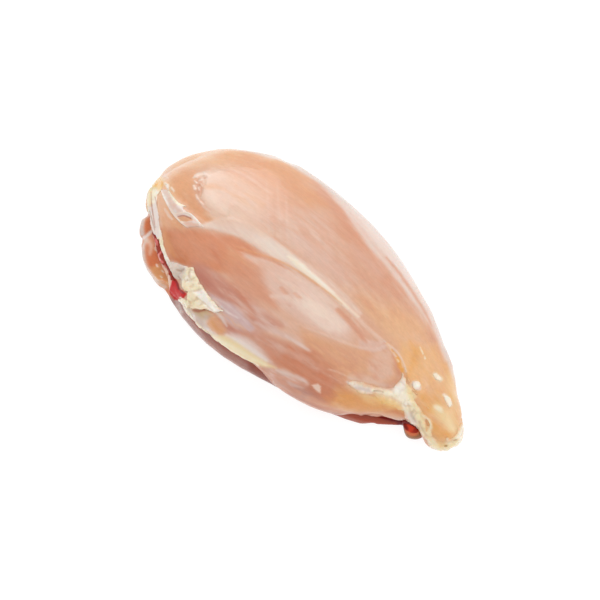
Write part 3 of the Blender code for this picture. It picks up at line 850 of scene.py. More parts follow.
# Silver and milky streaks
SILVER_STREAKS = (
    ("grain", "silver", 6, 2, 0.95, 0,
     ((204, 290), (216, 296), (230, 304), (244, 314), (254, 328), (250, 334), (236, 328), (222, 318),
      (212, 306))),
    ("stroke", "silver", 6, 3, 0.8, 0, ((222, 306, 2), (232, 314, 3.4), (242, 321, 3.6), (248, 328, 2))),
    ("stroke", "silver", 5, 3, 0.8, 0, ((206, 292, 1), (216, 299, 2), (228, 306, 2.4), (240, 314, 2))),
    ("grain", "haze", 6, 3, 0.6, 0, ((232, 296), (252, 312), (262, 326), (250, 322), (236, 310))),
    ("stroke", "milk", 2.4, 1, 0.5, 0, ((206, 295, 0.8), (216, 302, 1), (226, 311, 0.8), (238, 318, 0.6))),
    ("stroke", "film", 2.6, 1, 0.5, 0,
     ((214, 298, 0.5), (226, 304, 0.8), (238, 314, 0.8), (248, 324, 0.6))),
    ("stroke", "haze", 5, 2, 0.7, 0,
     ((256, 322, 2), (270, 330, 2.6), (286, 335, 2.4), (298, 343, 1.6), (310, 351, 0.8))),
    ("stroke", "film", 3, 1, 0.6, 0, ((286, 336, 0.8), (296, 342, 1.2), (308, 350, 0.6))),
    ("grain", "haze", 7, 3, 0.7, 0,
     ((254, 306), (272, 312), (292, 328), (302, 342), (284, 338), (262, 328))),
    ("wash", "haze", 7, 3, 0.85, 0,
     ((224, 328), (240, 333), (254, 342), (270, 360), (276, 366), (252, 356), (234, 344))),
    ("stroke", "milk", 5, 2, 0.7, 0, ((227, 335, 2), (240, 342, 3.4), (252, 350, 3), (266, 361, 1.4))),
    ("wash", "rim_white", 7, 2, 0.5, 0,
     ((232, 334), (246, 337), (259, 348), (272, 362), (262, 362), (248, 352))),
    # Painted shade where the near rim turns down, over its mauve flesh
    ("wash", "rim_dusk", 6, 2, 0.5, 0,
     ((260, 366), (284, 374), (312, 388), (326, 402), (300, 396), (272, 382))),
    ("wash", "plum", 6, 2, 0.4, 0, ((266, 374), (290, 382), (312, 394), (304, 400), (282, 392))),
    ("grain", "haze", 4, 2, 0.8, 0,
     ((268, 368), (284, 370), (304, 378), (308, 384), (288, 382), (270, 376))),
    ("wash", "haze", 6, 2, 0.35, 0,
     ((262, 367), (282, 370), (308, 380), (308, 387), (288, 387), (270, 379))),
    ("stroke", "film", 4, 1.5, 0.6, 0, ((276, 370.5, 0.8), (290, 375, 1.4), (306, 381.5, 1.2))),
    ("stroke", "clay", 2.6, 1, 0.45, 0, ((270, 372, 0.5), (284, 378, 1), (302, 385, 0.6))),
    ("stroke", "film", 3, 1, 0.4, 0, ((280, 381, 0.5), (292, 385, 1), (304, 388, 0.5))),
    ("stroke", "haze", 4, 2, 0.5, 0, ((264, 377, 0.6), (276, 383, 1.4), (290, 391, 0.8))),
    ("grain", "rim_pink", 4, 2, 0.8, 0, ((268, 372), (286, 380), (304, 390), (300, 396), (280, 386))),
    # Painted highlight: a pale glint on a small bump
    ("wash", "edge", 1.6, 0.6, 0.9, 0.12,
     ((311.5, 385), (318, 383.5), (320.5, 386), (320.5, 393.5), (316.5, 390.5))),
)
# The pale middle, partly painted sheen, and its fine lines
PALE_MIDDLE = (
    # Pale flesh in the middle with painted sheen on it
    ("wash", "bright", 8, 5, 0.85, 0,
     ((294, 292), (310, 296), (330, 308), (346, 324), (346, 336), (330, 332), (312, 322), (298, 308))),
    ("grain", "gleam", 8, 3, 0.6, 0,
     ((300, 298), (322, 304), (342, 322), (340, 332), (318, 320), (302, 308))),
    ("stroke", "bright", 5, 2, 0.7, 0, ((272, 296, 1.5), (284, 297, 2.5), (296, 303, 2))),
    ("stroke", "bright", 5, 2, 0.6, 0, ((280, 280, 1), (302, 290, 3), (318, 300, 3), (332, 312, 2))),
    ("stroke", "salmon", 3, 2, 0.6, -0.12, ((281, 288, 1), (285, 292, 1.2), (288, 294, 0.8))),
    ("stroke", "salmon", 3, 2, 0.6, -0.12, ((294, 293, 0.8), (299, 297, 1.2), (302, 299, 0.6))),
    ("stroke", "salmon", 3, 2, 0.6, -0.1, ((286, 303, 0.8), (290, 306, 1))),
    ("stroke", "edge", 2.6, 1, 0.5, 0.1,
     ((298, 324, 0.5), (312, 330, 0.9), (328, 336, 1), (345, 343, 1.2), (362, 348, 1.3), (378, 349, 1.6),
      (386, 345, 1.4))),
    ("wash", "haze", 4, 2, 0.6, 0,
     ((358, 340), (372, 340), (386, 342), (388, 350), (372, 352), (358, 349))),
    ("stroke", "edge", 3, 1, 0.6, 0.1, ((340, 302, 0.5), (356, 318, 1), (370, 332, 1), (382, 342, 1.2))),
    ("stroke", "edge", 2.4, 1, 0.6, 0.1, ((352, 318, 0.5), (360, 330, 0.9), (368, 342, 0.9))),
    ("stroke", "salmon", 4, 2, 0.8, 0, ((338, 310, 1), (350, 322, 2.4), (361, 335, 2.6), (367, 342, 1))),
    ("stroke", "edge", 2, 0.8, 0.5, 0, ((328, 369, 0.4), (340, 373, 0.8), (352, 379, 0.5))),
    ("stroke", "edge", 2, 0.8, 0.4, 0, ((322, 372, 0.4), (334, 378, 0.7), (342, 384, 0.4))),
)
# The near rim under the flesh, turned down and away from the light: its mauve flesh with painted shade
NEAR_RIM = (
    ("laid", "rim_pink", 7, 1.5, 0.9, 0,
     ((268, 379, 2), (285, 391, 3.4), (310, 403, 3.4), (340, 412, 2.6), (370, 414.5, 2), (398, 420, 1))),
    ("laid", "salmon", 5, 1.5, 0.5, 0, ((300, 394, 1), (320, 401, 1.6), (336, 407, 1))),
    # Painted shade over the rim's mauve flesh
    ("laid", "rim_dusk", 6, 2, 0.9, 0,
     ((256, 372, 1), (272, 383, 3), (290, 394, 3.4), (310, 404, 2.4), (330, 412, 1.6), (350, 416, 1.6),
      (376, 418, 1.4), (398, 422, 1))),
    # Painted shade along the underside of the near rim
    ("laid", "dusk", 4, 1, 0.6, 0,
     ((268, 382, 0.8), (290, 397, 1), (312, 408, 1), (332, 415, 0.8), (360, 418, 0.8), (396, 423, 0.8))),
    # Painted shadow over the breast's corner where it hangs over the inner fillet
    ("wash", "dusk", 2, 0.4, 0.9, 0,
     ((240, 358), (246, 359), (251, 362), (257, 368), (267, 380), (262, 386), (248, 380), (240, 370))),
    ("stroke", "rim_pink", 4, 1, 0.9, 0, ((258, 366, 1), (266, 374, 2), (276, 384, 2), (286, 392, 2))),
    ("stroke", "brick", 8, 2, 0.5, 0, ((276, 388, 2), (286, 395, 3.4), (300, 402, 3), (318, 409, 2))),
)
# Faint lines across the skin side
FAINT_LINES = (
    ("stroke", "bright", 2.4, 0.6, 0.25, 0, ((266, 178, 0.3), (268, 205, 0.6), (269, 236, 0.3))),
    ("stroke", "bright", 2.4, 0.6, 0.25, 0, ((277, 182, 0.3), (279, 210, 0.6), (281, 242, 0.3))),
    ("stroke", "salmon", 2.4, 0.6, 0.25, 0, ((272, 180, 0.3), (274, 208, 0.6), (275, 236, 0.3))),
    ("stroke", "bright", 2.4, 0.6, 0.3, 0, ((286, 196, 0.3), (287, 214, 0.6), (288, 244, 0.3))),
    ("stroke", "salmon", 2.4, 0.6, 0.2, 0, ((283, 190, 0.3), (284, 214, 0.5), (285, 240, 0.3))),
    ("stroke", "edge", 4, 1.5, 0.4, 0, ((210, 171, 0.6), (232, 170, 1), (252, 180, 1), (272, 194, 0.6))),
    ("stroke", "salmon", 3, 1.5, 0.35, 0, ((226, 169, 0.5), (240, 174, 0.9), (256, 185, 0.5))),
)
# The right side, where the meat turns away: a pale membrane band with a painted reflection of the bright
# surroundings
FAR_RIM = (
    ("wash", "rim_white", 7, 4, 0.85, 0,
     ((300, 163), (318, 181), (332, 196), (346, 214), (356, 229), (368, 247), (380, 263), (392, 278),
      (405, 293), (417, 308), (428, 323), (438, 340), (446, 360), (456, 352), (444, 316), (424, 280),
      (404, 250), (384, 228), (350, 194), (320, 168))),
    ("stroke", "blush", 5, 3, 0.6, 0,
     ((350, 214, 1), (362, 230, 2), (374, 246, 2.4), (388, 264, 2), (402, 282, 1.4))),
    ("stroke", "salmon", 3, 1, 0.75, 0,
     ((386, 257, 0.6), (396, 269, 1.2), (406, 282, 1.4), (416, 297, 1.4), (425, 312, 1),
      (432, 326, 0.6))),
    ("stroke", "rose", 3, 1, 0.5, 0, ((392, 282, 0.6), (404, 296, 1), (416, 311, 1), (428, 328, 0.6))),
    # The pale band and its painted reflection along the tip's right edge
    ("stroke", "rim_white", 4, 1, 0.8, 0,
     ((441, 335, 1), (447, 352, 1.6), (454, 373, 2), (459, 394, 2), (463, 414, 2))),
    ("stroke", "rim_grey", 4, 1, 0.85, 0,
     ((204, 152, -3), (232, 150.5, -0.6), (252, 151.5, 1), (270, 156, 1.8), (290, 163, 2.2),
      (335, 192, 2.4), (367, 221, 2.2), (402, 260, 2), (430, 305, 2), (450, 367, 1.4), (459, 400, 1.2))),
    ("stroke", "salmon", 2.4, 1, 0.4, 0, ((428, 326, 0.6), (436, 344, 1), (442, 360, 0.6))),
)
# The tip's flesh
TIP_FLESH = (
    ("wash", "apricot", 12, 3, 0.9, 0,
     ((402, 344), (436, 346), (460, 392), (470, 432), (452, 454), (432, 442), (420, 420), (414, 402),
      (406, 384), (401, 362))),
    ("stroke", "gold", 8, 3, 0.45, 0, ((410, 342, 2), (415, 352, 4), (412, 366, 3), (408, 376, 2))),
    ("stroke", "gold", 8, 3, 0.5, 0, ((446, 364, 1), (452, 384, 2), (450, 398, 2))),
    ("stroke", "gold", 8, 3, 0.5, 0, ((424, 396, 3), (434, 402, 4), (428, 412, 3), (422, 410, 2))),
    ("stroke", "tangerine", 6, 2, 0.4, 0, ((434, 384, 2), (442, 392, 2))),
    ("stroke", "peach", 8, 3, 0.6, 0, ((426, 346, 3), (434, 362, 4), (440, 380, 3), (430, 390, 3))),
    ("stroke", "butter", 10, 3, 0.7, 0, ((436, 408, 4), (446, 418, 6), (452, 428, 5))),
    ("stroke", "butter", 10, 3, 0.4, 0, ((448, 376, 3), (453, 394, 4), (456, 410, 3))),
    ("stroke", "peach", 8, 3, 0.5, 0, ((426, 378, 3), (428, 392, 3), (432, 402, 3))),
    ("stroke", "gold", 6, 2, 0.5, 0, ((432, 424, 3), (440, 434, 4), (450, 434, 2))),
    ("stroke", "rim_white", 4, 1, 0.9, 0, ((414.5, 384, 3), (418, 387, 3))),
    ("stroke", "cream", 4, 1, 0.85, 0, ((435, 375, 2), (440, 379, 2.2))),
    ("stroke", "milk", 4, 1, 0.85, 0, ((444, 395, 1.4), (447.5, 399, 2.4), (450, 405, 1.6))),
    ("stroke", "cream", 6, 2, 0.8, 0.15, ((436, 408, 2.4), (440, 409, 3))),
    ("stroke", "cream", 2.4, 0.8, 0.85, 0.25, ((420, 418, 0.6), (422, 424, 1.1), (423.5, 432, 0.9))),
    ("stroke", "cream", 2.4, 0.8, 0.85, 0.25,
     ((424.5, 416, 0.6), (430, 421, 1.2), (431.5, 427, 1.3), (430, 433, 0.9))),
    ("stroke", "ochre", 2.4, 0.8, 0.8, -0.1, ((426, 421, 0.7), (427, 426, 1.2), (426.5, 431, 0.8))),
    ("stroke", "cream", 1.8, 0.5, 0.9, 0.15, ((420, 347, 0.5), (421.5, 350.5, 0.8), (423, 354, 0.4))),
    ("stroke", "cream", 1.8, 0.5, 0.9, 0.15, ((424.5, 356, 0.5), (425, 358.5, 0.9))),
    ("stroke", "film", 7, 3, 0.45, 0, ((350, 378, 1), (364, 381, 2), (380, 384, 2), (392, 386, 1))),
    ("stroke", "gold", 3, 1.5, 0.95, 0,
     ((387, 344, 1), (392, 351, 1.8), (397, 358, 2.2), (401, 366, 2.6), (402, 371, 1.4))),
    ("stroke", "rust", 3, 1.5, 0.35, 0, ((391, 350, 0.8), (395, 358, 1.2), (398, 366, 1.4), (400, 372, 1))),
    # Painted highlights: small glints on the amber lace
    ("stroke", "edge", 1.8, 0.6, 0.75, 0.12, ((387.5, 344.5, 0.5), (390.5, 348.5, 0.8))),
    ("stroke", "edge", 1.8, 0.6, 0.75, 0.12, ((393.5, 353, 0.5), (396, 356.5, 0.8))),
    ("stroke", "cream", 1.8, 0.6, 0.75, 0.12, ((397, 359.5, 0.5), (398.5, 361.5, 0.7))),
    ("stroke", "edge", 1.8, 0.6, 0.7, 0.12, ((401, 362, 0.5), (403, 367, 0.8))),
)
FLESH = (SKIN_SIDE + BELOW_TENDON + MEMBRANES + SILVER_STREAKS + PALE_MIDDLE + NEAR_RIM + FAINT_LINES
         + FAR_RIM + TIP_FLESH)
# Streaks along the fibres: colour, grain in mm, amount, seed
STREAKS = (
    ("edge", 2.2, 0.14, 101), ("rust", 3.0, 0.13, 103), ("haze", 5.0, 0.14, 105),
    ("salmon", 9.0, 0.16, 107), ("edge", 1.2, 0.07, 109), ("clay", 1.4, 0.07, 111),
)
# Fat and edges of membrane that lie thin on the breast muscle
SKIN_FAT = (
    # rim at the blunt end
    ("laid", "butter", 4, 1.5, 0.9, 0.1,
     ((160, 178, 2), (153, 186, 4), (150, 196, 4), (150, 208, 3), (152, 216, 2))),
    ("wash", "yolk", 4, 1.5, 0.95, 0.1,
     ((153, 181), (158, 176), (164, 178), (165, 185), (160, 189), (154, 187))),
    # Painted highlight along the outline at the blunt corner
    ("stroke", "haze", 5, 1.5, 0.5, 0, ((163, 184, 1), (165, 175, 1.6), (170, 169, 1))),
    ("stroke", "umber", 4, 1, 0.5, 0, ((164, 226, 0.8), (166, 238, 1.6), (170, 250, 2), (175, 260, 1.6))),
    ("stroke", "amber", 6, 1.5, 0.6, 0, ((163, 220, 1), (165, 234, 2), (169, 248, 2.4), (174, 256, 1.4))),
    # Painted highlights: glints on small bumps near the blunt corner
    ("stroke", "milk", 2, 1, 0.9, 0.25, ((165, 183, 0.8), (167.5, 185.5, 1.4), (168.5, 189, 1))),
    ("stroke", "milk", 2, 1, 0.7, 0.2, ((171.5, 188, 0.8), (174, 191.5, 1))),
    ("stroke", "edge", 2, 0.8, 0.6, 0.1, ((165, 176, 0.8), (168, 178, 0.8))),
    # flesh round the torn membrane
    ("stroke", "edge", 2.4, 0.8, 0.8, 0.1, ((165, 209, 0.8), (168, 214, 1.4), (172, 219, 1))),
    # the near side's fat
    ("wash", "dim", 4, 1.5, 0.8, 0.1, ((168, 260), (178, 262), (188, 266), (184, 278), (174, 280))),
    ("wash", "butter", 5, 1.5, 0.8, 0.1,
     ((184, 302), (196, 306), (208, 312), (214, 318), (206, 322), (194, 315), (186, 308))),
    ("wash", "film", 4, 1.5, 0.8, 0,
     ((204, 314), (212, 316), (214, 330), (222, 338), (212, 336), (204, 326))),
    ("wash", "ochre", 6, 2.5, 0.95, 0.1,
     ((210, 316), (216, 316), (223, 322), (227, 330), (219, 335), (211, 331), (207, 324))),
    ("stroke", "amber", 4, 1.5, 0.6, 0, ((212, 322, 1.4), (216, 328, 1.8), (222, 331, 1))),
    ("stroke", "film", 3, 1, 0.75, 0.15, ((216, 312, 1), (221, 317, 1.6), (227, 326, 1))),
    # the strip along the near edge
    ("wash", "dim", 5, 1.5, 0.9, 0.2,
     ((180, 304), (190, 308), (202, 318), (210, 330), (218, 340), (208, 334), (194, 322), (184, 311))),
    # Painted shadow below the clump and in the crease at its foot
    ("wash", "slit", 5, 2, 0.3, 0, ((190, 308), (206, 310), (212, 316), (206, 320), (196, 315))),
    ("stroke", "shade", 2.6, 1, 0.8, -0.1, ((194, 310, 0.8), (200, 311, 1.5), (205, 310, 0.8))),
    ("wash", "butter", 5, 1.5, 0.95, 0.3,
     ((200, 326), (212, 334), (224, 336), (240, 345), (256, 356), (276, 368), (262, 366), (240, 357),
      (224, 347), (206, 334))),
    ("stroke", "cream", 4, 1, 0.6, 0.05, ((214, 336, 1), (232, 346, 2), (250, 357, 1.6), (266, 365, 0.8))),
    ("laid", "cream", 2.6, 0.8, 0.85, 0.15,
     ((178, 300, 1.4), (187, 310, 1.8), (197, 323, 1.8), (212, 336, 1.6), (226, 346, 1.5),
      (242, 356, 1.4), (258, 365, 1))),
    # fat at the tip
    ("stroke", "film", 3, 1, 0.9, 0.1,
     ((347, 382, 0.8), (357, 386, 2.6), (367, 390, 3.2), (375, 391, 1.5))),
    ("wash", "yolk", 6, 2, 0.45, 0.1,
     ((376, 397), (388, 399), (398, 402), (403, 409), (392, 408), (380, 403))),
    ("wash", "butter", 3, 1.2, 0.8, 0.1, ((406, 384), (411, 387), (416, 397), (412, 402), (407, 394))),
    ("stroke", "edge", 1.8, 0.6, 0.8, 0.15,
     ((384, 341, 0.5), (392, 347.5, 0.7), (399, 355, 0.8), (404, 365, 0.8), (406, 372, 0.8))),
    ("stroke", "edge", 1.6, 0.6, 0.7, 0.15, ((386, 345, 0.4), (392, 352, 0.6), (396, 359, 0.6))),
    ("laid", "cream", 4, 1.5, 0.9, 0.2,
     ((430, 440, 3), (437, 446, 3.5), (446, 447, 3.5), (454, 442, 3.5), (460, 434, 3), (463, 426, 2))),
)
# Blood smeared over both muscles below the crevice, with painted shade and a painted glint on it
SMEAR = (
    ("wash", "smear", 1.6, 0.8, 1.0, 0.3,
     ((172.5, 277), (176, 279), (179, 284), (179.5, 289.5), (183, 291), (187, 294), (184, 298),
      (180, 296.5), (178, 300), (174, 300), (170, 294), (169.5, 288), (171.5, 284))),
    # Dark blood of the crevice along the blob's upper right edge, with painted shade there
    ("stroke", "clot", 2, 0.8, 0.8, 0,
     ((174, 278, 0.6), (177.5, 283.5, 0.8), (179.5, 289, 0.8), (184, 293.5, 0.6))),
    # Painted highlight: a pink glint on the blob's left side
    ("stroke", "gore", 2, 0.8, 0.2, 0, ((172.5, 286, 0.5), (173, 291, 0.8), (175, 295, 0.5))),
)
# Paint on the pieces of fat and membrane
FAT_PAINT = (
    ("wash", "yolk", 5, 1.5, 0.9, 0,
     ((152, 180), (160, 175), (166, 179), (165, 186), (158, 190), (153, 187))),
    ("stroke", "gold", 4, 1.5, 0.5, 0, ((156, 184, 1), (160, 181, 1.6), (163, 184, 1))),
    ("wash", "film", 3, 1, 0.9, 0,
     ((148, 206), (156, 203), (160, 216), (160, 236), (156, 240), (151, 228))),
    ("stroke", "butter", 3, 1, 0.7, 0, ((152, 186, 1), (150, 196, 1.6), (150, 206, 1))),
    # Painted shade in the grooves between the rim's bands
    ("stroke", "shade", 1.3, 0.4, 0.6, -0.1,
     ((151, 192, 0.3), (151.5, 204, 0.5), (153, 214, 0.5), (155, 228, 0.3))),
    ("stroke", "shade", 1.3, 0.4, 0.6, -0.1, ((155, 197, 0.3), (157.5, 206, 0.6), (160, 215, 0.3))),
    ("stroke", "slit", 1.2, 0.4, 0.5, -0.1, ((149.5, 211, 0.3), (152, 220, 0.5), (154.5, 230, 0.3))),
    ("wash", "dim", 5, 2, 0.8, 0, ((166, 260), (178, 262), (187, 267), (182, 280), (174, 280))),
    # Painted shade in the clump's slits
    ("stroke", "slit", 3, 1.5, 0.6, -0.15, ((177, 270, 0.6), (181, 271, 1.2), (184, 269, 0.8))),
    ("stroke", "slit", 2, 1, 0.5, -0.15, ((178, 276, 0.4), (181, 281, 0.8), (180, 287, 0.4))),
    ("stroke", "butter", 4, 1.5, 0.5, 0, ((184, 282, 1), (184, 289, 1.6), (186, 294, 1))),
    ("wash", "milk", 4, 1.5, 0.95, 0,
     ((192, 291), (203, 289), (207, 298), (214, 306), (222, 312), (211, 311), (200, 300))),
    ("stroke", "butter", 4, 1.5, 0.5, 0, ((188, 302, 1.4), (194, 305, 2), (201, 307, 1.6))),
    # Painted shade in the clump's creases
    ("stroke", "shade", 2, 0.8, 0.85, -0.2, ((194, 309.5, 0.6), (199, 311, 1.5), (204, 310, 0.7))),
    ("stroke", "crease", 3, 1, 0.35, -0.1, ((184, 281, 0.5), (190, 280, 0.9), (197, 281, 0.5))),
    ("stroke", "crease", 3, 1, 0.45, -0.1, ((186, 291.5, 0.6), (193, 291, 1), (201, 289, 0.5))),
    ("stroke", "crease", 2, 1, 0.5, -0.1, ((190, 270, 0.4), (189, 276, 0.9), (190, 282, 0.4))),
    ("stroke", "crease", 2, 1, 0.5, -0.1, ((196, 297, 0.4), (204, 303, 0.9), (212, 310, 0.4))),
    ("stroke", "crease", 2, 1, 0.6, -0.1, ((186, 299, 0.4), (190, 303, 0.9), (188, 309, 0.4))),
    ("wash", "film", 4, 1.5, 0.6, 0, ((208, 316), (222, 312), (228, 326), (222, 330))),
    ("wash", "milk", 4, 1.5, 0.5, 0,
     ((396, 384), (401, 374), (406, 376), (407, 386), (403, 394), (396, 392))),
    ("wash", "butter", 4, 1.5, 0.8, 0, ((407, 384), (413, 390), (416, 400), (411, 402), (407, 394))),
    ("wash", "milk", 5, 2, 0.3, 0, ((388, 390), (400, 388), (406, 400), (400, 404), (392, 398))),
    ("stroke", "yolk", 4, 1.5, 0.6, 0, ((374, 394, 1), (384, 397.5, 1.6), (394, 401, 1.6))),
    # Painted shade in a fold of the tip fat
    ("stroke", "slit", 1.6, 0.5, 0.75, -0.2, ((374, 391, 0.4), (378, 390.8, 0.8), (383, 392, 0.4))),
    ("stroke", "dim", 3, 1, 0.9, -0.1, ((356, 387.5, 1), (362, 389, 1.8), (368, 390.5, 1))),
    ("wash", "film", 5, 2, 0.6, 0,
     ((404, 410), (412, 412), (418, 421), (420, 428), (412, 424), (407, 418))),
    ("wash", "butter", 5, 2, 0.6, 0, ((414, 416), (424, 418), (432, 434), (426, 438), (418, 428))),
    ("stroke", "butter", 5, 2, 0.8, 0, ((414, 404, 1.4), (420, 414, 2), (425, 424, 1.6), (430, 434, 1.4))),
    ("stroke", "amber", 2.6, 1, 0.6, 0, ((426, 421, 0.6), (427, 426, 1), (426.5, 431, 0.6))),
    # Painted shade in the slits of the tip band
    ("stroke", "slit", 4, 1.5, 0.3, -0.1, ((408, 404, 0.4), (411, 413, 1.2), (415, 421, 0.6))),
    ("stroke", "slit", 4, 1.5, 0.35, -0.1, ((419, 422, 0.6), (422, 429, 1.2), (427, 436, 0.6))),
    ("stroke", "yolk", 4, 1.5, 0.25, 0, ((407, 384, 1.2), (411, 391, 2), (413, 399, 1.6))),
    ("wash", "yolk", 6, 2, 0.35, 0,
     ((374, 396), (390, 401), (402, 405), (402, 411), (388, 408), (376, 402))),
    ("wash", "cream", 6, 2, 0.6, 0,
     ((376, 389), (392, 391), (404, 396), (404, 403), (392, 401), (378, 396))),
    ("stroke", "butter", 5, 2, 0.8, 0, ((428, 438, 2), (438, 446, 2.4), (450, 446, 2.4), (458, 438, 1.6))),
    ("stroke", "crust", 2, 0.6, 0.85, -0.2, ((445, 446, 0.7), (446.5, 446, 0.8))),
    # Painted shade in a pit of the cap
    ("stroke", "slit", 2, 0.8, 0.5, -0.15, ((454, 440.5, 0.7), (456.5, 439.5, 0.6))),
    ("wash", "gold", 4, 1.5, 0.35, 0, ((434, 440), (444, 441), (448, 446), (440, 447))),
    ("stroke", "milk", 3, 1, 0.8, 0, ((457, 438, 1), (461, 432, 1.6), (464, 423, 1.4))),
)
# Paint on the inner fillet
INNER = (
    ("wash", "lobe", 5, 1, 1.0, 0,
     ((132, 208), (152, 210), (160, 232), (172, 262), (180, 290), (174, 298), (150, 290), (134, 260),
      (132, 230))),
    ("wash", "lobe_deep", 6, 2, 0.85, 0, ((147, 242), (155, 246), (159, 256), (156, 270), (148, 266))),
    ("wash", "lobe_deep", 4, 1.5, 0.85, 0, ((144, 221), (150, 219), (151, 231), (146, 233))),
    ("wash", "amber", 6, 2, 0.8, 0,
     ((150, 268), (160, 264), (168, 276), (172, 288), (162, 288), (152, 278))),
    # Painted highlight on the small lobe
    ("stroke", "haze", 4, 1, 0.8, 0, ((143, 222, 1), (142, 230, 1.6), (144, 238, 1.4))),
    ("stroke", "film", 2.5, 0.8, 0.9, 0.1, ((143, 239, 0.8), (147, 236, 1.6), (152, 231, 1.4))),
    ("stroke", "rim_grey", 5, 1, 0.9, 0,
     ((146, 239, 1), (143, 248, 1.8), (144, 261, 1.8), (149, 272, 1.6), (156, 281, 1.6),
      (165, 287, 1.4))),
    ("stroke", "rim_grey", 4, 1, 0.85, 0, ((148, 212, 1), (142, 223, 1.6), (141.5, 234, 1.6))),
    ("stroke", "edge", 5, 2, 0.7, 0, ((147, 240, 2), (151, 246, 2.4), (150, 254, 1))),
    ("stroke", "butter", 4, 1.5, 0.7, 0, ((168, 282, 1), (172, 286, 1.6), (174, 290, 1))),
    # Painted highlights: glints on small bumps of the big lobe
    ("stroke", "milk", 1.6, 0.6, 0.95, 0.15, ((156.5, 264.5, 0.7), (157.5, 266.5, 0.9))),
    ("stroke", "milk", 1.6, 0.6, 0.9, 0.15, ((162, 270.5, 0.7), (163.5, 272, 0.9))),
    ("stroke", "milk", 1.6, 0.6, 0.8, 0.15, ((160.5, 276, 0.6), (162, 277.5, 0.7))),
    ("stroke", "milk", 1.6, 0.6, 0.8, 0.15, ((155, 248, 0.6), (156, 250, 0.8))),
    # the strip under the near edge, darkened with painted shade where the breast overhangs it
    ("stroke", "film", 4, 1.5, 0.7, 0, ((176, 300, 1.2), (178, 306, 2), (182, 312, 1.4))),
    ("laid", "dusk", 6, 1, 0.6, 0,
     ((190, 336, 1), (206, 353, 2), (224, 366, 2.4), (244, 375, 2.4), (262, 381, 2))),
    ("grain", "haze", 5, 2, 0.4, 0,
     ((184, 312), (204, 334), (222, 350), (240, 362), (234, 366), (206, 348), (186, 324))),
    ("wash", "shade", 10, 2, 0.3, 0, ((206, 336), (236, 352), (250, 374), (226, 366), (206, 352))),
    # Painted shadow in the hollow under the breast's near corner
    ("wash", "dusk", 8, 2, 0.75, 0,
     ((250, 358), (262, 358), (280, 372), (284, 392), (262, 382), (248, 370))),
    ("laid", "liver", 3, 1, 0.4, 0,
     ((184, 306, 0.8), (196, 325, 1), (212, 339, 1), (228, 350, 1), (244, 360, 1.4), (262, 371, 2))),
    ("laid", "haze", 3, 1, 0.35, 0, ((180, 316, 0.8), (192, 334, 1.1), (206, 349, 0.8))),
    ("wash", "liver", 9, 2, 1.0, 0,
     ((300, 392), (360, 406), (402, 410), (430, 430), (420, 450), (360, 440), (300, 420))),
    # Painted shade along the second strip's top, under the breast's edge
    ("laid", "rim_dusk", 4, 1, 0.7, 0,
     ((338, 414, 0.8), (356, 420, 1.2), (372, 424, 1.2), (388, 425, 0.8))),
    ("laid", "clot", 3, 1, 0.8, 0, ((380, 417, 0.6), (392, 420, 1.2), (400, 421, 1.6))),
    # the nub
    ("wash", "clot", 4, 1, 0.9, 0,
     ((394, 412), (410, 416), (424, 426), (424, 431), (410, 430), (398, 426))),
    ("wash", "lobe_deep", 3, 1, 0.9, 0,
     ((403, 429), (412, 431), (420, 430), (420, 436), (410, 438), (404, 434))),
    ("stroke", "crust", 3, 0.8, 0.9, 0,
     ((402, 427, 1.4), (404.5, 434, 1.6), (411, 438.5, 1.8), (418, 437, 1.6), (422, 432, 1.4))),
)
# Paint on the torn membrane
FLAP_PAINT = (
    ("stroke", "rose", 3, 1, 0.6, 0, ((166, 193, 1), (172, 203, 2), (178, 210, 1.4))),
    ("stroke", "milk", 2.2, 1, 0.8, 0.08, ((161, 190.5, 0.8), (164, 197, 1.2), (168, 205, 1))),
    ("stroke", "gleam", 2.2, 1, 0.8, 0.08,
     ((168, 205, 1), (173, 213.5, 1.2), (180, 221.5, 1.4), (188, 227, 1))),
    ("stroke", "cream", 1.8, 0.8, 0.9, 0.08,
     ((169, 191, 0.6), (173, 198, 1), (178, 203.5, 1), (187, 207, 0.6))),
    ("stroke", "gleam", 2, 0.8, 0.9, 0.08,
     ((175, 214, 0.6), (183, 212.5, 1), (191, 214.5, 1.1), (197, 220.5, 1), (204, 227.5, 0.6))),
    ("stroke", "milk", 1.6, 0.6, 0.8, 0.05, ((191, 214.5, 0.5), (196, 219.5, 0.8), (200, 224, 0.5))),
    ("wash", "ochre", 1.6, 0.5, 0.95, -0.15,
     ((177, 217.5), (183, 215.8), (190, 217), (193, 220), (186, 221.5), (180, 221))),
    ("stroke", "shade", 1.2, 0.4, 0.7, -0.1, ((178, 216.5, 0.3), (184, 215.6, 0.5), (191, 218.3, 0.5))),
    ("wash", "rose", 2, 0.6, 0.8, 0, ((182, 222.5), (190, 222), (198, 224), (200, 227), (188, 227))),
)


def carried(node, name, grain):
    """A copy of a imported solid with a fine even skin, which stands for the solid."""
    piece = bpy.data.objects.new(name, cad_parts[node].data.copy())
    piece.data.materials.clear()
    bpy.context.scene.collection.objects.link(piece)
    remeshed(piece, grain)
    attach(piece, "root")
    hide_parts(node)
    return piece


def along_meat(points):
    """Places stretched along the fibres, which run together towards the tip."""
    x, y, z = points.T
    spread = np.sqrt(np.clip(1.0 - ((x + 6.0 * MM) / (98.0 * MM)) ** 2, 0.12, 1.0))
    return np.stack([x * FIBRE_STRETCH, y / spread, z * 0.8], axis=1)


def shown(mesh, outlines):
    """Which faces show in the photograph inside any of the outlines."""
    pixels = PICTURE.pixels(face_middles(mesh))
    facing = face_normals(mesh) @ PICTURE.back > SHOWN_FACING
    inside = np.zeros(len(pixels), bool)
    for outline in outlines:
        inside |= inside_outline(pixels, outline) > 0.0
    return facing & inside


def length(name, description, default):
    """A length that the sidebar can change."""
    return FloatProperty(name=name, description=description, default=default, min=0.0, unit="LENGTH")


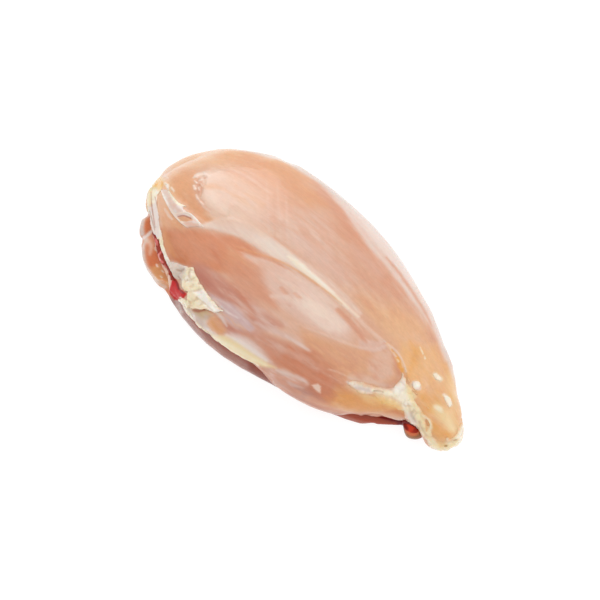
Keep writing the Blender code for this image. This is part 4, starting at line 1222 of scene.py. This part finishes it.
def power(name, description, default):
    """A lamp's power that the sidebar can change."""
    return FloatProperty(name=name, description=description, default=default, min=0.0, unit="POWER")


def picked(name, title, description):
    """One of the painted colours, which the sidebar can change."""
    return FloatVectorProperty(name=title, description=description, size=3, min=0.0, max=1.0,
                               subtype="COLOR_GAMMA", default=[part / 255.0 for part in COLOURS[name]])


class ChickenSizes(PropertyGroup):
    """Sizes of the chicken breast's surface, and the lamps"""
    skin_grain: length("Skin grain", "Spacing of the skin's points before it is divided", 1.46 * MM)
    inner_grain: length("Inner grain", "Spacing of the points on the inner fillet", 0.6 * MM)
    swell: length("Swell", "Height of the soft swellings of the breast muscle", 0.30 * MM)
    fibre: length("Fibre", "Height of the ridges along the fibres", 0.07 * MM)
    crumb: length("Fat crumb", "Height of the lobules in the thick fat", 0.20 * MM)
    tip_fill: length("Tip fill", "How far the evened tip is filled out again", 1.2 * MM)
    left_lamp: power("Left lamp", "Power of the left softbox", 1.7)
    right_lamp: power("Right lamp", "Power of the right softbox", 1.1)


class ChickenColours(PropertyGroup):
    """Main colours of the chicken breast"""
    tan: picked("tan", "Flesh", "Ground colour of the breast muscle")
    peach: picked("peach", "Shoulder", "Flesh at the blunt end of the skin side")
    rust: picked("rust", "Bare flesh", "Flesh below the tendon, where no membrane lies on it")
    amber: picked("amber", "Tip flesh", "Flesh beside the fat at the tip")
    tendon: picked("tendon", "Tendon", "Broad part of the tendon")
    cream: picked("cream", "Fat", "Ground colour of the fat")
    butter: picked("butter", "Yellow fat", "Yellower places in the fat")
    film: picked("film", "Membrane", "Ground colour of the torn membrane")
    plum: picked("plum", "Inner fillet", "Ground colour of the inner fillet")
    blood: picked("blood", "Blood", "Blood in the crevice and under the tip")


def tone(name):
    """A colour as it shows, from 0 to 255: the sidebar's where it lists that colour."""
    listed = getattr(bpy.context.scene.chicken_colours, name, None)
    return np.array(COLOURS[name], float) if listed is None else np.array(listed, float) * 255.0


class CHICKEN_OT_stage(Operator):
    """Floor, soft light and the photograph's camera"""
    bl_idname = "chicken.stage"
    bl_label = "Stage"

    def execute(self, context):
        scene = context.scene
        scene.view_settings.view_transform = "Standard"
        white = (1.0, 1.0, 1.0, 1.0)
        world = bpy.data.worlds.new("studio")
        world.use_nodes = True
        world.node_tree.nodes["Background"].inputs["Color"].default_value = white
        world.node_tree.nodes["Background"].inputs["Strength"].default_value = WORLD_GLOW
        scene.world = world
        sides = ((-1, -1), (1, -1), (1, 1), (-1, 1))
        floor = new_object("floor", [(x * FLOOR_HALF, y * FLOOR_HALF, 0) for x, y in sides], [(0, 1, 2, 3)])
        recipe = Recipe("pale floor")
        shader = recipe.node("ShaderNodeBsdfPrincipled", {}, {
            "Base Color": (FLOOR_GREY, FLOOR_GREY, FLOOR_GREY, 1.0), "Roughness": 0.9,
            "Specular IOR Level": 0.0, "Emission Color": white, "Emission Strength": FLOOR_GLOW})
        floor.data.materials.append(recipe.end(shader))
        lamps = (scene.chicken_sizes.left_lamp, scene.chicken_sizes.right_lamp)
        for (name, turn, lift), energy in zip(SOFTBOXES, lamps):
            light = bpy.data.lights.new(name, "AREA")
            light.size = SOFTBOX_SIZE
            light.energy = energy
            lamp = bpy.data.objects.new(name, light)
            turn, lift = math.radians(turn), math.radians(lift)
            way = Vector((math.sin(turn) * math.cos(lift), -math.cos(turn) * math.cos(lift),
                          math.sin(lift)))
            lamp.location = way * SOFTBOX_DISTANCE
            lamp.rotation_euler = way.to_track_quat("Z", "Y").to_euler()
            scene.collection.objects.link(lamp)
        camera = bpy.data.objects.new("camera", bpy.data.cameras.new("camera"))
        camera.data.lens = LENS
        camera.data.sensor_width = SENSOR
        camera.location = PICTURE.place
        camera.rotation_euler = Vector(PICTURE.back).to_track_quat("Z", "Y").to_euler()
        scene.collection.objects.link(camera)
        scene.camera = camera
        return {"FINISHED"}


class CHICKEN_OT_breast(Operator):
    """The large breast muscle with its membranes"""
    bl_idname = "chicken.breast"
    bl_label = "Breast muscle"

    def execute(self, context):
        sizes = context.scene.chicken_sizes
        piece = carried("breast_fillet", "breast_muscle", sizes.skin_grain)
        mesh = piece.data
        relax(mesh, 40)
        self.even_tip(mesh, sizes.tip_fill)
        carrier = Carrier("breast_muscle")
        facing = face_normals(mesh) @ PICTURE.back
        divide(mesh, (facing > DIVIDED_FACING) & (face_middles(mesh)[:, 2] > DIVIDED_HEIGHT))
        relax(mesh, 4)
        divide(mesh, shown(mesh, DETAIL_OUTLINES))
        relax(mesh, 3)
        surface = Surface(mesh, "tan")
        held = self.shape_edges(surface, carrier)
        carrier = Carrier("breast_muscle")
        surface.rise += (sizes.swell * cloud(surface.points, SWELL_GRAIN, 3, 2)
                         + sizes.fibre * cloud(surface.flow, RIDGE_GRAIN, 5, 3))
        surface.tint("under", smooth(-surface.normals[:, 2] * 1.5))
        surface.tint("rose", 0.5 * smooth(0.5 + 1.6 * cloud(surface.points, 26.0 * MM, 7, 2)))
        surface.lay(carrier, FLESH)
        for name, grain, amount, seed in STREAKS:
            streak = smooth(1.6 * cloud(surface.flow, grain * MM, seed, 3))
            surface.tint(name, amount * (1.0 - surface.fat) * streak)
        surface.lay(carrier, SKIN_FAT + SMEAR)
        surface.lift(surface.rise)
        relax(mesh, 30, 0.9, held)
        surface.look()
        surface.settle()
        surface.store()
        PAINTED["breast_muscle"] = surface.colour
        finish = wet_finish("raw breast", streaks=0.22, pits=0.10, relief_depth=0.25 * MM,
                            roughness=0.44, sheer=0.2, glow_depth=1.2 * MM)
        mesh.materials.append(finish)
        return {"FINISHED"}

    def even_tip(self, mesh, fill):
        """Evens out the tip's bumps and fills it out again."""
        tip = smooth((points_of(mesh)[:, 0] - TIP_FROM) / TIP_FADE)
        relax(mesh, 30, 0.0, 1.0 - tip)
        move_points(mesh, points_of(mesh) + normals_of(mesh) * (tip * fill)[:, None])
        relax(mesh, 4)

    def shape_edges(self, surface, carrier):
        """Draws the outline to the photograph's and evens the edges: how far each point is held."""
        mesh = surface.mesh
        relax(mesh, 80, 0.3, 1.0 - surface.beside(carrier, NEAR_EDGE, 14.0))
        surface.look()
        surface.pull(carrier, EDGE_PULLS)
        carrier = Carrier("breast_muscle")
        near, strip, corner = (surface.beside(carrier, edge, 10.0)
                               for edge in (NEAR_EDGE, STRIP_EDGE, BLUNT_CORNER))
        held = 1.0 - (near + strip + corner)
        relax(mesh, 60, 0.2, 1.0 - strip)
        relax(mesh, 50, 0.7, held)
        surface.look()
        return held


class CHICKEN_OT_inner(Operator):
    """The inner fillet under the near edge"""
    bl_idname = "chicken.inner"
    bl_label = "Inner fillet"

    def execute(self, context):
        sizes = context.scene.chicken_sizes
        piece = carried("inner_fillet", "inner_muscle", sizes.inner_grain)
        relax(piece.data, 30)
        carrier = Carrier("inner_muscle")
        surface = Surface(piece.data, "plum")
        surface.pull(carrier, INNER_PULLS)
        carrier = Carrier("inner_muscle")
        surface.rise += (INNER_SWELL * cloud(surface.points, INNER_SWELL_GRAIN, 13, 2)
                         + sizes.fibre * cloud(surface.flow, INNER_RIDGE_GRAIN, 15, 3))
        surface.lay(carrier, INNER + SMEAR)
        surface.lift(surface.rise)
        surface.settle()
        surface.store()
        PAINTED["inner_muscle"] = surface.colour
        finish = wet_finish("raw inner fillet", streaks=0.25, pits=0.12, relief_depth=0.25 * MM,
                            roughness=0.42, sheer=0.2, glow_depth=1.2 * MM)
        piece.data.materials.append(finish)
        return {"FINISHED"}


def strand(carrier, stops, flat, sink, seed):
    """A closed strand laid along a route of (pixel, pixel, half width) stops: its points and faces.

    Its height is flat times its width, and the sink is the share of it that lies in the meat.
    """
    places, normals, widths = carrier.route(stops)
    for _ in range(3):
        normals[1:-1] = (normals[:-2] + 2.0 * normals[1:-1] + normals[2:]) / 4.0
        places[1:-1] = (places[:-2] + 2.0 * places[1:-1] + places[2:]) / 4.0
    along = np.gradient(places, axis=0)
    along /= np.linalg.norm(along, axis=1)[:, None]
    across = np.cross(normals, along)
    across /= np.linalg.norm(across, axis=1)[:, None]
    widths = widths * (1.0 + 0.3 * cloud(places, 3.0 * MM, seed, 2))
    widths[[0, -1]] *= 0.6
    heights = widths * flat
    hearts = places + normals * (heights * (1.0 - 2.0 * sink))[:, None]
    turns = np.arange(STRAND_SIDES) * 2.0 * math.pi / STRAND_SIDES
    points = [heart + side * width * math.cos(turn) + normal * height * math.sin(turn)
              for heart, side, normal, width, height in zip(hearts, across, normals, widths, heights)
              for turn in turns]
    rings = len(hearts)
    faces = [(ring * STRAND_SIDES + side, ring * STRAND_SIDES + (side + 1) % STRAND_SIDES,
              (ring + 1) * STRAND_SIDES + (side + 1) % STRAND_SIDES, (ring + 1) * STRAND_SIDES + side)
             for ring in range(rings - 1) for side in range(STRAND_SIDES)]
    for ring, way in ((0, -1.0), (rings - 1, 1.0)):
        tip = len(points)
        points.append(hearts[ring] + along[ring] * way * widths[ring] * 0.8)
        for side in range(STRAND_SIDES):
            pair = (ring * STRAND_SIDES + side, ring * STRAND_SIDES + (side + 1) % STRAND_SIDES)
            faces.append((*(pair if way > 0 else pair[::-1]), tip))
    return points, faces


def lump(carrier, stop, flat, sink, seed):
    """A rounded lump on the meat under a (pixel, pixel, half width) stop, flat and sunk like a strand."""
    place, normal = carrier.under(stop[:2])
    width = stop[2] / PIXELS_PER_MM * MM
    height = width * flat
    across = np.cross(normal, (0.3, 0.8, 0.5))
    across /= np.linalg.norm(across)
    along = np.cross(normal, across)
    ball = bmesh.new()
    bmesh.ops.create_icosphere(ball, subdivisions=3, radius=1.0)
    ways = np.array([vertex.co for vertex in ball.verts])
    faces = [[vertex.index for vertex in face.verts] for face in ball.faces]
    ball.free()
    ways *= 1.0 + 0.18 * cloud(ways + seed * 3.7, 1.1, seed, 2)[:, None]
    points = (place + normal * (height * (1.0 - 2.0 * sink)) + ways[:, :1] * across * width
              + ways[:, 1:2] * along * width * 0.9 + ways[:, 2:] * normal * height)
    return list(points), faces


def patch(carrier, stops, flat, sink, seed):
    """A closed slab over an outline of (pixel, pixel) corners: its points and faces.

    Its height in mm, and its edge and raggedness in pixels, come before the corners. The height varies by
    the share flat, and sink is how many mm of the slab lie in the meat.
    """
    height, edge, ragged, *outline = stops
    corners = np.array(outline, float)
    low = corners.min(axis=0) - 2.0
    count = np.ceil((corners.max(axis=0) + 2.0 - low) / PATCH_STEP).astype(int)
    columns, rows = np.meshgrid(np.arange(count[0]), np.arange(count[1]))
    pixels = low + np.stack([columns.ravel(), rows.ravel()], axis=1) * PATCH_STEP
    wave = cloud(np.column_stack([pixels, np.zeros(len(pixels))]), 5.0, seed, 2)
    depth = inside_outline(pixels, corners) + ragged * wave
    chosen = np.flatnonzero(depth > 0.0)
    laid = [carrier.under(pixels[index]) for index in chosen]
    places = np.array([place for place, _ in laid])
    normals = np.array([normal for _, normal in laid])
    normals = normals + 2.0 * normals.mean(axis=0)
    normals /= np.linalg.norm(normals, axis=1)[:, None]
    part = np.clip(depth[chosen] / edge, 0.0, 1.0)
    rise = height * MM * np.sqrt(part * (2.0 - part)) * (1.0 + flat * cloud(places, 2.6 * MM, seed + 1, 2))
    points = np.vstack([places + normals * rise[:, None], places - normals * sink * MM])
    number = np.full(len(pixels), -1)
    number[chosen] = np.arange(len(chosen))
    number = number.reshape(count[1], count[0])
    cells = np.stack([number[:-1, :-1], number[1:, :-1], number[1:, 1:], number[:-1, 1:]], axis=-1)
    cells = cells.reshape(-1, 4)
    tops = [tuple(cell) for cell in cells[np.all(cells >= 0, axis=1)].tolist()]
    half = len(chosen)
    open_edges = {}
    for cell in tops:
        for pair in zip(cell, cell[1:] + cell[:1]):
            if pair[::-1] in open_edges:
                del open_edges[pair[::-1]]
            else:
                open_edges[pair] = True
    faces = tops + [tuple(corner + half for corner in cell[::-1]) for cell in tops]
    faces += [(end, start, start + half, end + half) for start, end in open_edges]
    return list(points), faces


def laid_piece(name, carrier, parts, grain, seed):
    """One soft piece: patches, strands and lumps laid on the meat and run together, at a grain in mm."""
    points, faces = [], []
    for form, flat, sink, routes in parts:
        for stops in routes:
            seed += 1
            new_points, new_faces = form(carrier, stops, flat, sink, seed)
            faces.extend([len(points) + index for index in face] for face in new_faces)
            points.extend(new_points)
    piece = new_object(name, points, faces)
    remeshed(piece, grain * MM)
    relax(piece.data, 5, 0.7)
    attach(piece, "root")
    return piece


# Patches of fat and membrane: height in mm, edge and raggedness in pixels, then the outline's corners
RIM_PATCHES = (
    (0.4, 3.0, 0.8, (148, 187), (153, 179), (160, 177), (164, 182), (162, 190), (158, 196), (158, 206),
     (160, 218), (161, 236), (158, 241), (153, 234), (150, 223), (147.5, 210), (147, 198)),
    (0.45, 2.0, 0.5, (158, 230), (162, 230), (164, 244), (168, 256), (174, 266), (179, 274), (172, 274),
     (165, 262), (160, 247)),
)
CLUMP_PATCHES = (
    (0.8, 4.0, 1.4, (167, 262), (174, 261), (182, 264), (189, 267), (188, 274), (182, 281), (176, 280),
     (171, 274), (168, 268)),
    (1.4, 2.6, 0.5, (185, 268), (193, 266.5), (197, 275), (201, 283), (206, 291), (199, 294), (190, 294),
     (184, 291), (180, 284), (180, 277)),
    (1.5, 2.6, 0.7, (189, 290), (204, 289), (210, 296), (216, 304), (225, 311.5), (214, 313), (206, 310),
     (198, 310), (191, 308), (187, 302), (187, 295)),
    (0.7, 3.0, 1.0, (175, 299), (183, 297), (190, 303), (190, 309), (183, 306)),
    (1.9, 3.0, 0.8, (187, 271), (192, 270), (196, 278), (193, 284), (187, 282)),
    (1.9, 3.0, 0.8, (193, 293), (202, 292), (208, 300), (205, 305), (196, 302)),
    (1.2, 3.0, 0.8, (181, 281), (188, 283), (192, 291), (187, 291), (182, 287)),
)
TIP_PATCHES = (
    (0.9, 8.0, 1.6, (402, 371), (405, 376), (407, 384), (411, 389), (414, 396), (418, 404), (422, 411),
     (425, 418), (429, 428), (434, 437), (440, 446), (430, 444), (424, 437), (417, 431), (411, 427),
     (406, 421), (403, 412), (398, 402), (392, 399), (384, 397), (375, 393), (366, 392), (372, 387),
     (384, 389), (392, 389), (396, 384), (400, 378)),
    (0.9, 11.0, 1.4, (425, 434), (432, 438), (440, 441), (448, 440), (455, 434), (459, 426), (462, 416),
     (468, 426), (466, 438), (460, 446), (452, 452), (440, 455), (430, 449)),
    (0.4, 3.0, 0.8, (346, 382), (352, 379.5), (362, 381), (372, 385), (384, 387), (394, 387), (400, 390),
     (404, 400), (404, 407), (394, 405), (384, 401), (374, 396), (364, 394), (355, 390)),
    (0.4, 8.0, 1.5, (370, 390), (386, 390), (400, 392), (406, 402), (404, 412), (392, 408), (378, 402)),
)
FLAP_PATCHES = (
    (0.3, 2.0, 0.7, (161, 190), (168, 190), (171, 196), (176, 201), (184, 205.5), (184, 209), (190, 213),
     (197, 220), (204, 228), (196, 227), (187, 228), (180, 223), (174, 216), (168, 206), (163, 198)),
)
# Strands of (pixel, pixel, half width) stops
RIM_STRANDS = (
    ((157, 194, 0.8), (156.5, 204, 1), (157.5, 214, 1), (159.5, 226, 1.1), (160, 238, 0.8)),
    ((160, 226, 1), (161, 240, 1.3), (165, 252, 1.6), (169, 262, 1.7), (174, 271, 1.6)),
    ((150, 210, 0.8), (152, 220, 1), (155, 229, 1), (157, 237, 0.7)),
    ((149, 189, 0.8), (148, 200, 1.1), (149, 211, 0.8)),
    ((153, 190, 0.8), (152.5, 202, 1), (153.5, 212, 0.8)),
)
FLAP_STRANDS = (
    ((161, 190.5, 0.6), (164, 197, 1), (168, 205, 1), (173, 213.5, 1), (180, 221.5, 1.2), (188, 227, 0.8)),
    ((169, 191, 0.7), (173, 198, 1.1), (178, 203.5, 1.1), (187, 207, 0.7)),
    ((175, 214, 0.6), (183, 212.5, 1), (191, 214.5, 1.2), (197, 220.5, 1.2), (204, 227.5, 0.8)),
    ((161, 190, 0.7), (165, 190, 0.8), (169, 191, 0.6)),
)
TIP_STRANDS = (
    ((403, 363, 0.5), (405.5, 370, 0.9), (408, 379, 1), (412, 388, 1.1), (417, 395, 0.8)),
    ((402, 372, 0.8), (404, 379, 1.8), (405, 386, 2)),
    ((346, 382, 0.5), (355, 381.5, 1), (366, 385, 1), (378, 388.5, 1), (390, 390, 1.4)),
    ((347, 384, 0.5), (355, 389, 0.9), (364, 394, 1), (371, 393, 0.8), (380, 395, 1)),
    ((420, 418, 0.7), (422, 424, 1.2), (423.5, 432, 1)),
    ((424.5, 416, 0.7), (430, 421, 1.3), (431.5, 427, 1.4), (430, 433, 0.9)),
)
# Lumps of (pixel, pixel, half width)
RIM_LUMPS = ((157, 182, 3), (154, 187, 2.6), (166, 184, 1.4), (168, 188, 1.3), (172, 190, 1), (164, 178, 1),
             (174, 193, 0.9))
TIP_LUMPS = (
    (397, 391, 4), (402, 390, 3.6), (392, 394, 3.4), (404, 399, 3.6), (410, 408, 4), (416, 416, 4),
    (386, 392, 2.4), (421, 424, 3.6), (436, 445, 4), (445, 446, 4), (454, 442, 4), (461, 434, 3.6),
    (464, 424, 3), (447, 439, 2.6),
)
NODULE_PATCHES = (
    (0.6, 6.0, 0.9, (412, 383), (415, 380.5), (419, 381), (421.5, 385), (420, 389), (416, 390.5),
     (412.5, 388)),
    (0.55, 6.0, 0.9, (432, 374.5), (436, 372.5), (439.5, 375), (442.5, 379.5), (440, 381.5), (435.5, 380)),
    (0.6, 6.0, 0.9, (442.5, 396), (447, 394), (451, 398), (452.5, 405), (449, 408), (445.5, 402)),
)
NODULE_LUMPS = ((428, 408, 1.2), (426, 388, 0.8), (454, 388, 0.8), (424, 398, 0.8))
# Blood in the crevice and under the tip
BLOOD_PATCHES = (
    (0.4, 2.0, 0.7, (151.5, 232), (156, 233), (160, 242), (163, 249), (166, 256), (169, 264),
     (172.5, 273), (176, 281), (173, 282), (170, 274), (166, 268), (160, 263), (157, 255), (156, 247),
     (154, 240)),
    (0.5, 3.0, 0.6, (402, 422.5), (407, 423), (413, 425.5), (419, 430), (418, 433.5), (411, 433),
     (406, 431), (403.5, 427)),
)
BLOOD_STRANDS = (
    ((153, 232, 0.8), (155.5, 238, 1.3), (158.5, 245, 1.2), (161, 251, 1.6), (163.5, 258, 1.5),
     (166, 264, 1.6), (169, 271, 1.5), (173, 280, 1.8)),
)
BLOOD_LUMPS = ((156.5, 241, 1.3), (159.5, 248, 1.4), (160, 255, 1.7), (163, 258, 1.5), (163, 263, 1.6),
               (166, 267, 1.5), (169.5, 274, 1.6), (155, 236, 1.2), (171.5, 279, 1.6))
BLOOD_PAINT = (
    ("wash", "russet", 3, 1.5, 0.85, 0,
     ((148, 226), (160, 236), (168, 250), (174, 266), (178, 280), (168, 280), (158, 268), (150, 250))),
    ("stroke", "clot", 2, 0.8, 0.9, 0, ((153, 232, 1), (155, 237, 1), (158, 240, 0.7))),
    ("stroke", "clot", 2, 0.8, 0.75, 0,
     ((158, 240, 0.6), (161, 248, 0.8), (165, 256, 1.1), (167.5, 264, 1.5), (171, 272, 1.2),
      (175, 280, 1))),
    # Painted highlights: pink glints on the crevice's blood
    ("stroke", "gore", 2, 0.8, 0.6, 0, ((153, 236, 0.6), (155, 240, 0.8), (155, 246, 0.6))),
    ("wash", "clot", 4, 1.5, 0.6, 0, ((398, 420), (405, 422), (408, 428), (405, 431), (400, 428))),
    # Painted highlights: glints and a pale pink ring on the crevice's blood
    ("stroke", "gore", 1.6, 0.6, 0.95, 0, ((156, 239, 0.7), (157, 242, 1), (157, 245, 0.7))),
    ("stroke", "gore", 1.6, 0.6, 0.95, 0,
     ((161, 252, 1), (158.5, 255, 1.3), (159, 259, 1.4), (162.5, 262.5, 1.2))),
    ("stroke", "edge", 1.4, 0.5, 0.8, 0, ((158.5, 254, 0.4), (158.5, 257, 0.6), (160, 260, 0.5))),
    ("stroke", "gore", 1.6, 0.6, 0.8, 0, ((164.5, 265.5, 0.7), (166, 268, 0.8))),
    ("wash", "clot", 3, 1, 0.85, 0,
     ((382, 416), (394, 418), (406, 422), (408, 430), (398, 427), (388, 422))),
)


# What the laid pieces are made of: (form, flat, sink, places) of patches, strands and lumps
RIM_PARTS = ((patch, 0.2, 0.5, RIM_PATCHES), (strand, 0.6, 0.4, RIM_STRANDS), (lump, 0.5, 0.4, RIM_LUMPS))
CLUMP_PARTS = ((patch, 0.4, 0.8, CLUMP_PATCHES),)
TIP_PARTS = ((patch, 0.4, 0.8, TIP_PATCHES), (strand, 0.6, 0.4, TIP_STRANDS), (lump, 0.45, 0.5, TIP_LUMPS))
NODULE_PARTS = ((patch, 0.2, 0.5, NODULE_PATCHES), (lump, 0.4, 0.4, NODULE_LUMPS))
FLAP_PARTS = ((patch, 0.2, 0.4, FLAP_PATCHES), (strand, 0.8, 0.35, FLAP_STRANDS))
BLOOD_PARTS = ((patch, 0.3, 0.5, BLOOD_PATCHES), (strand, 0.5, 0.3, BLOOD_STRANDS),
               (lump, 0.5, 0.3, BLOOD_LUMPS))
# Pieces of fat: name, parts, grain in mm, seed, share of the crumb's height, and the thickness in mm below
# which the meat shows through
FAT_PIECES = (
    ("rim_fat", RIM_PARTS, 0.26, 21, 0.25, 0.3),
    ("fat_clump", CLUMP_PARTS, 0.32, 31, 1.0, 0.5),
    ("tip_fat", TIP_PARTS, 0.32, 51, 1.0, 0.8),
    ("fat_nodules", NODULE_PARTS, 0.22, 61, 0.25, 0.6),
)


class CHICKEN_OT_fat(Operator):
    """Rim fat, fat clump, tip fat and nodules"""
    bl_idname = "chicken.fat"
    bl_label = "Fat"

    def execute(self, context):
        carrier = Carrier("breast_muscle")
        crumb = context.scene.chicken_sizes.crumb
        finish = wet_finish("raw fat", streaks=0.0, pits=0.2, relief_depth=0.3 * MM,
                            roughness=0.42, sheer=0.25, glow_depth=1.0 * MM)
        for name, parts, grain, seed, share, depth in FAT_PIECES:
            piece = laid_piece(name, carrier, parts, grain, seed)
            surface = Surface(piece.data, "cream")
            surface.tint("butter", 0.25 * smooth(0.5 + 1.2 * cloud(surface.points, 6.0 * MM, seed, 2)))
            surface.tint("milk", 0.6 * smooth(0.4 + 1.4 * cloud(surface.points, 3.0 * MM, seed + 1, 2)))
            crumbs = (lobules(surface.points, 3.0 * MM, seed) - 0.5
                      + 1.4 * cloud(surface.points, 1.8 * MM, seed + 5, 2))
            surface.rise += share * crumb * crumbs
            # Painted shade in the creases between the lobules
            surface.tint("crease", 0.52 * share * smooth(-0.1 - crumbs))
            surface.lay(carrier, FAT_PAINT)
            if name == "fat_nodules":
                surface.tint("milk", 0.6)
            surface.thin_out(carrier, depth * MM)
            surface.lift(surface.rise)
            surface.store()
            piece.data.materials.append(finish)
        return {"FINISHED"}


class CHICKEN_OT_folds(Operator):
    """The torn membrane near the blunt end"""
    bl_idname = "chicken.folds"
    bl_label = "Membrane folds"

    def execute(self, context):
        carrier = Carrier("breast_muscle")
        piece = laid_piece("membrane_folds", carrier, FLAP_PARTS, 0.24, 71)
        surface = Surface(piece.data, "film")
        surface.tint("rose", 0.5 * smooth(0.5 + 1.5 * cloud(surface.points, 2.4 * MM, 73, 2)))
        surface.lay(carrier, FLAP_PAINT)
        surface.thin_out(carrier, 0.12 * MM)
        surface.lift(surface.rise)
        surface.store()
        finish = wet_finish("raw membrane", streaks=0.0, pits=0.1, relief_depth=0.2 * MM,
                            roughness=0.34, sheer=0.3, glow_depth=0.8 * MM)
        piece.data.materials.append(finish)
        return {"FINISHED"}


class CHICKEN_OT_blood(Operator):
    """Blood in the crevice and under the tip"""
    bl_idname = "chicken.blood"
    bl_label = "Blood"

    def execute(self, context):
        carrier = Carrier("breast_muscle", "inner_muscle")
        piece = laid_piece("blood", carrier, BLOOD_PARTS, 0.26, 81)
        surface = Surface(piece.data, "blood")
        surface.tint("clot", 0.6 * smooth(0.2 + 1.6 * cloud(surface.points, 2.4 * MM, 83, 2)))
        surface.lay(carrier, BLOOD_PAINT)
        surface.store(DULL_SHINE)
        finish = wet_finish("fresh blood", streaks=0.0, pits=0.05, relief_depth=0.15 * MM,
                            roughness=0.45, sheer=0.0, glow_depth=0.8 * MM, shine=0.08)
        piece.data.materials.append(finish)
        return {"FINISHED"}


class CHICKEN_PT_pieces(Panel):
    """Lists the chicken breast's pieces"""
    bl_label = "Raw chicken breast"
    bl_space_type = "VIEW_3D"
    bl_region_type = "UI"
    bl_category = "Chicken"

    def draw(self, context):
        for group in (context.scene.chicken_sizes, context.scene.chicken_colours):
            for name in type(group).__annotations__:
                self.layout.prop(group, name)
        for operator in OPERATORS:
            self.layout.operator(operator.bl_idname)


OPERATORS = (CHICKEN_OT_stage, CHICKEN_OT_breast, CHICKEN_OT_inner, CHICKEN_OT_fat, CHICKEN_OT_folds,
             CHICKEN_OT_blood)
CLASSES = (ChickenSizes, ChickenColours, *OPERATORS, CHICKEN_PT_pieces)


def register():
    """Adds the sizes, the colours, the operators and the panel."""
    for made in CLASSES:
        bpy.utils.register_class(made)
    bpy.types.Scene.chicken_sizes = PointerProperty(type=ChickenSizes)
    bpy.types.Scene.chicken_colours = PointerProperty(type=ChickenColours)


def unregister():
    """Takes them away again."""
    del bpy.types.Scene.chicken_colours
    del bpy.types.Scene.chicken_sizes
    for made in reversed(CLASSES):
        bpy.utils.unregister_class(made)


def corners(box):
    """A box as plain lists of numbers."""
    return [list(corner) for corner in box]


def main():
    """Makes every piece."""
    register()
    for operator in OPERATORS:
        family, name = operator.bl_idname.split(".")
        getattr(getattr(bpy.ops, family), name)()


if __name__ == "__main__":
    main()
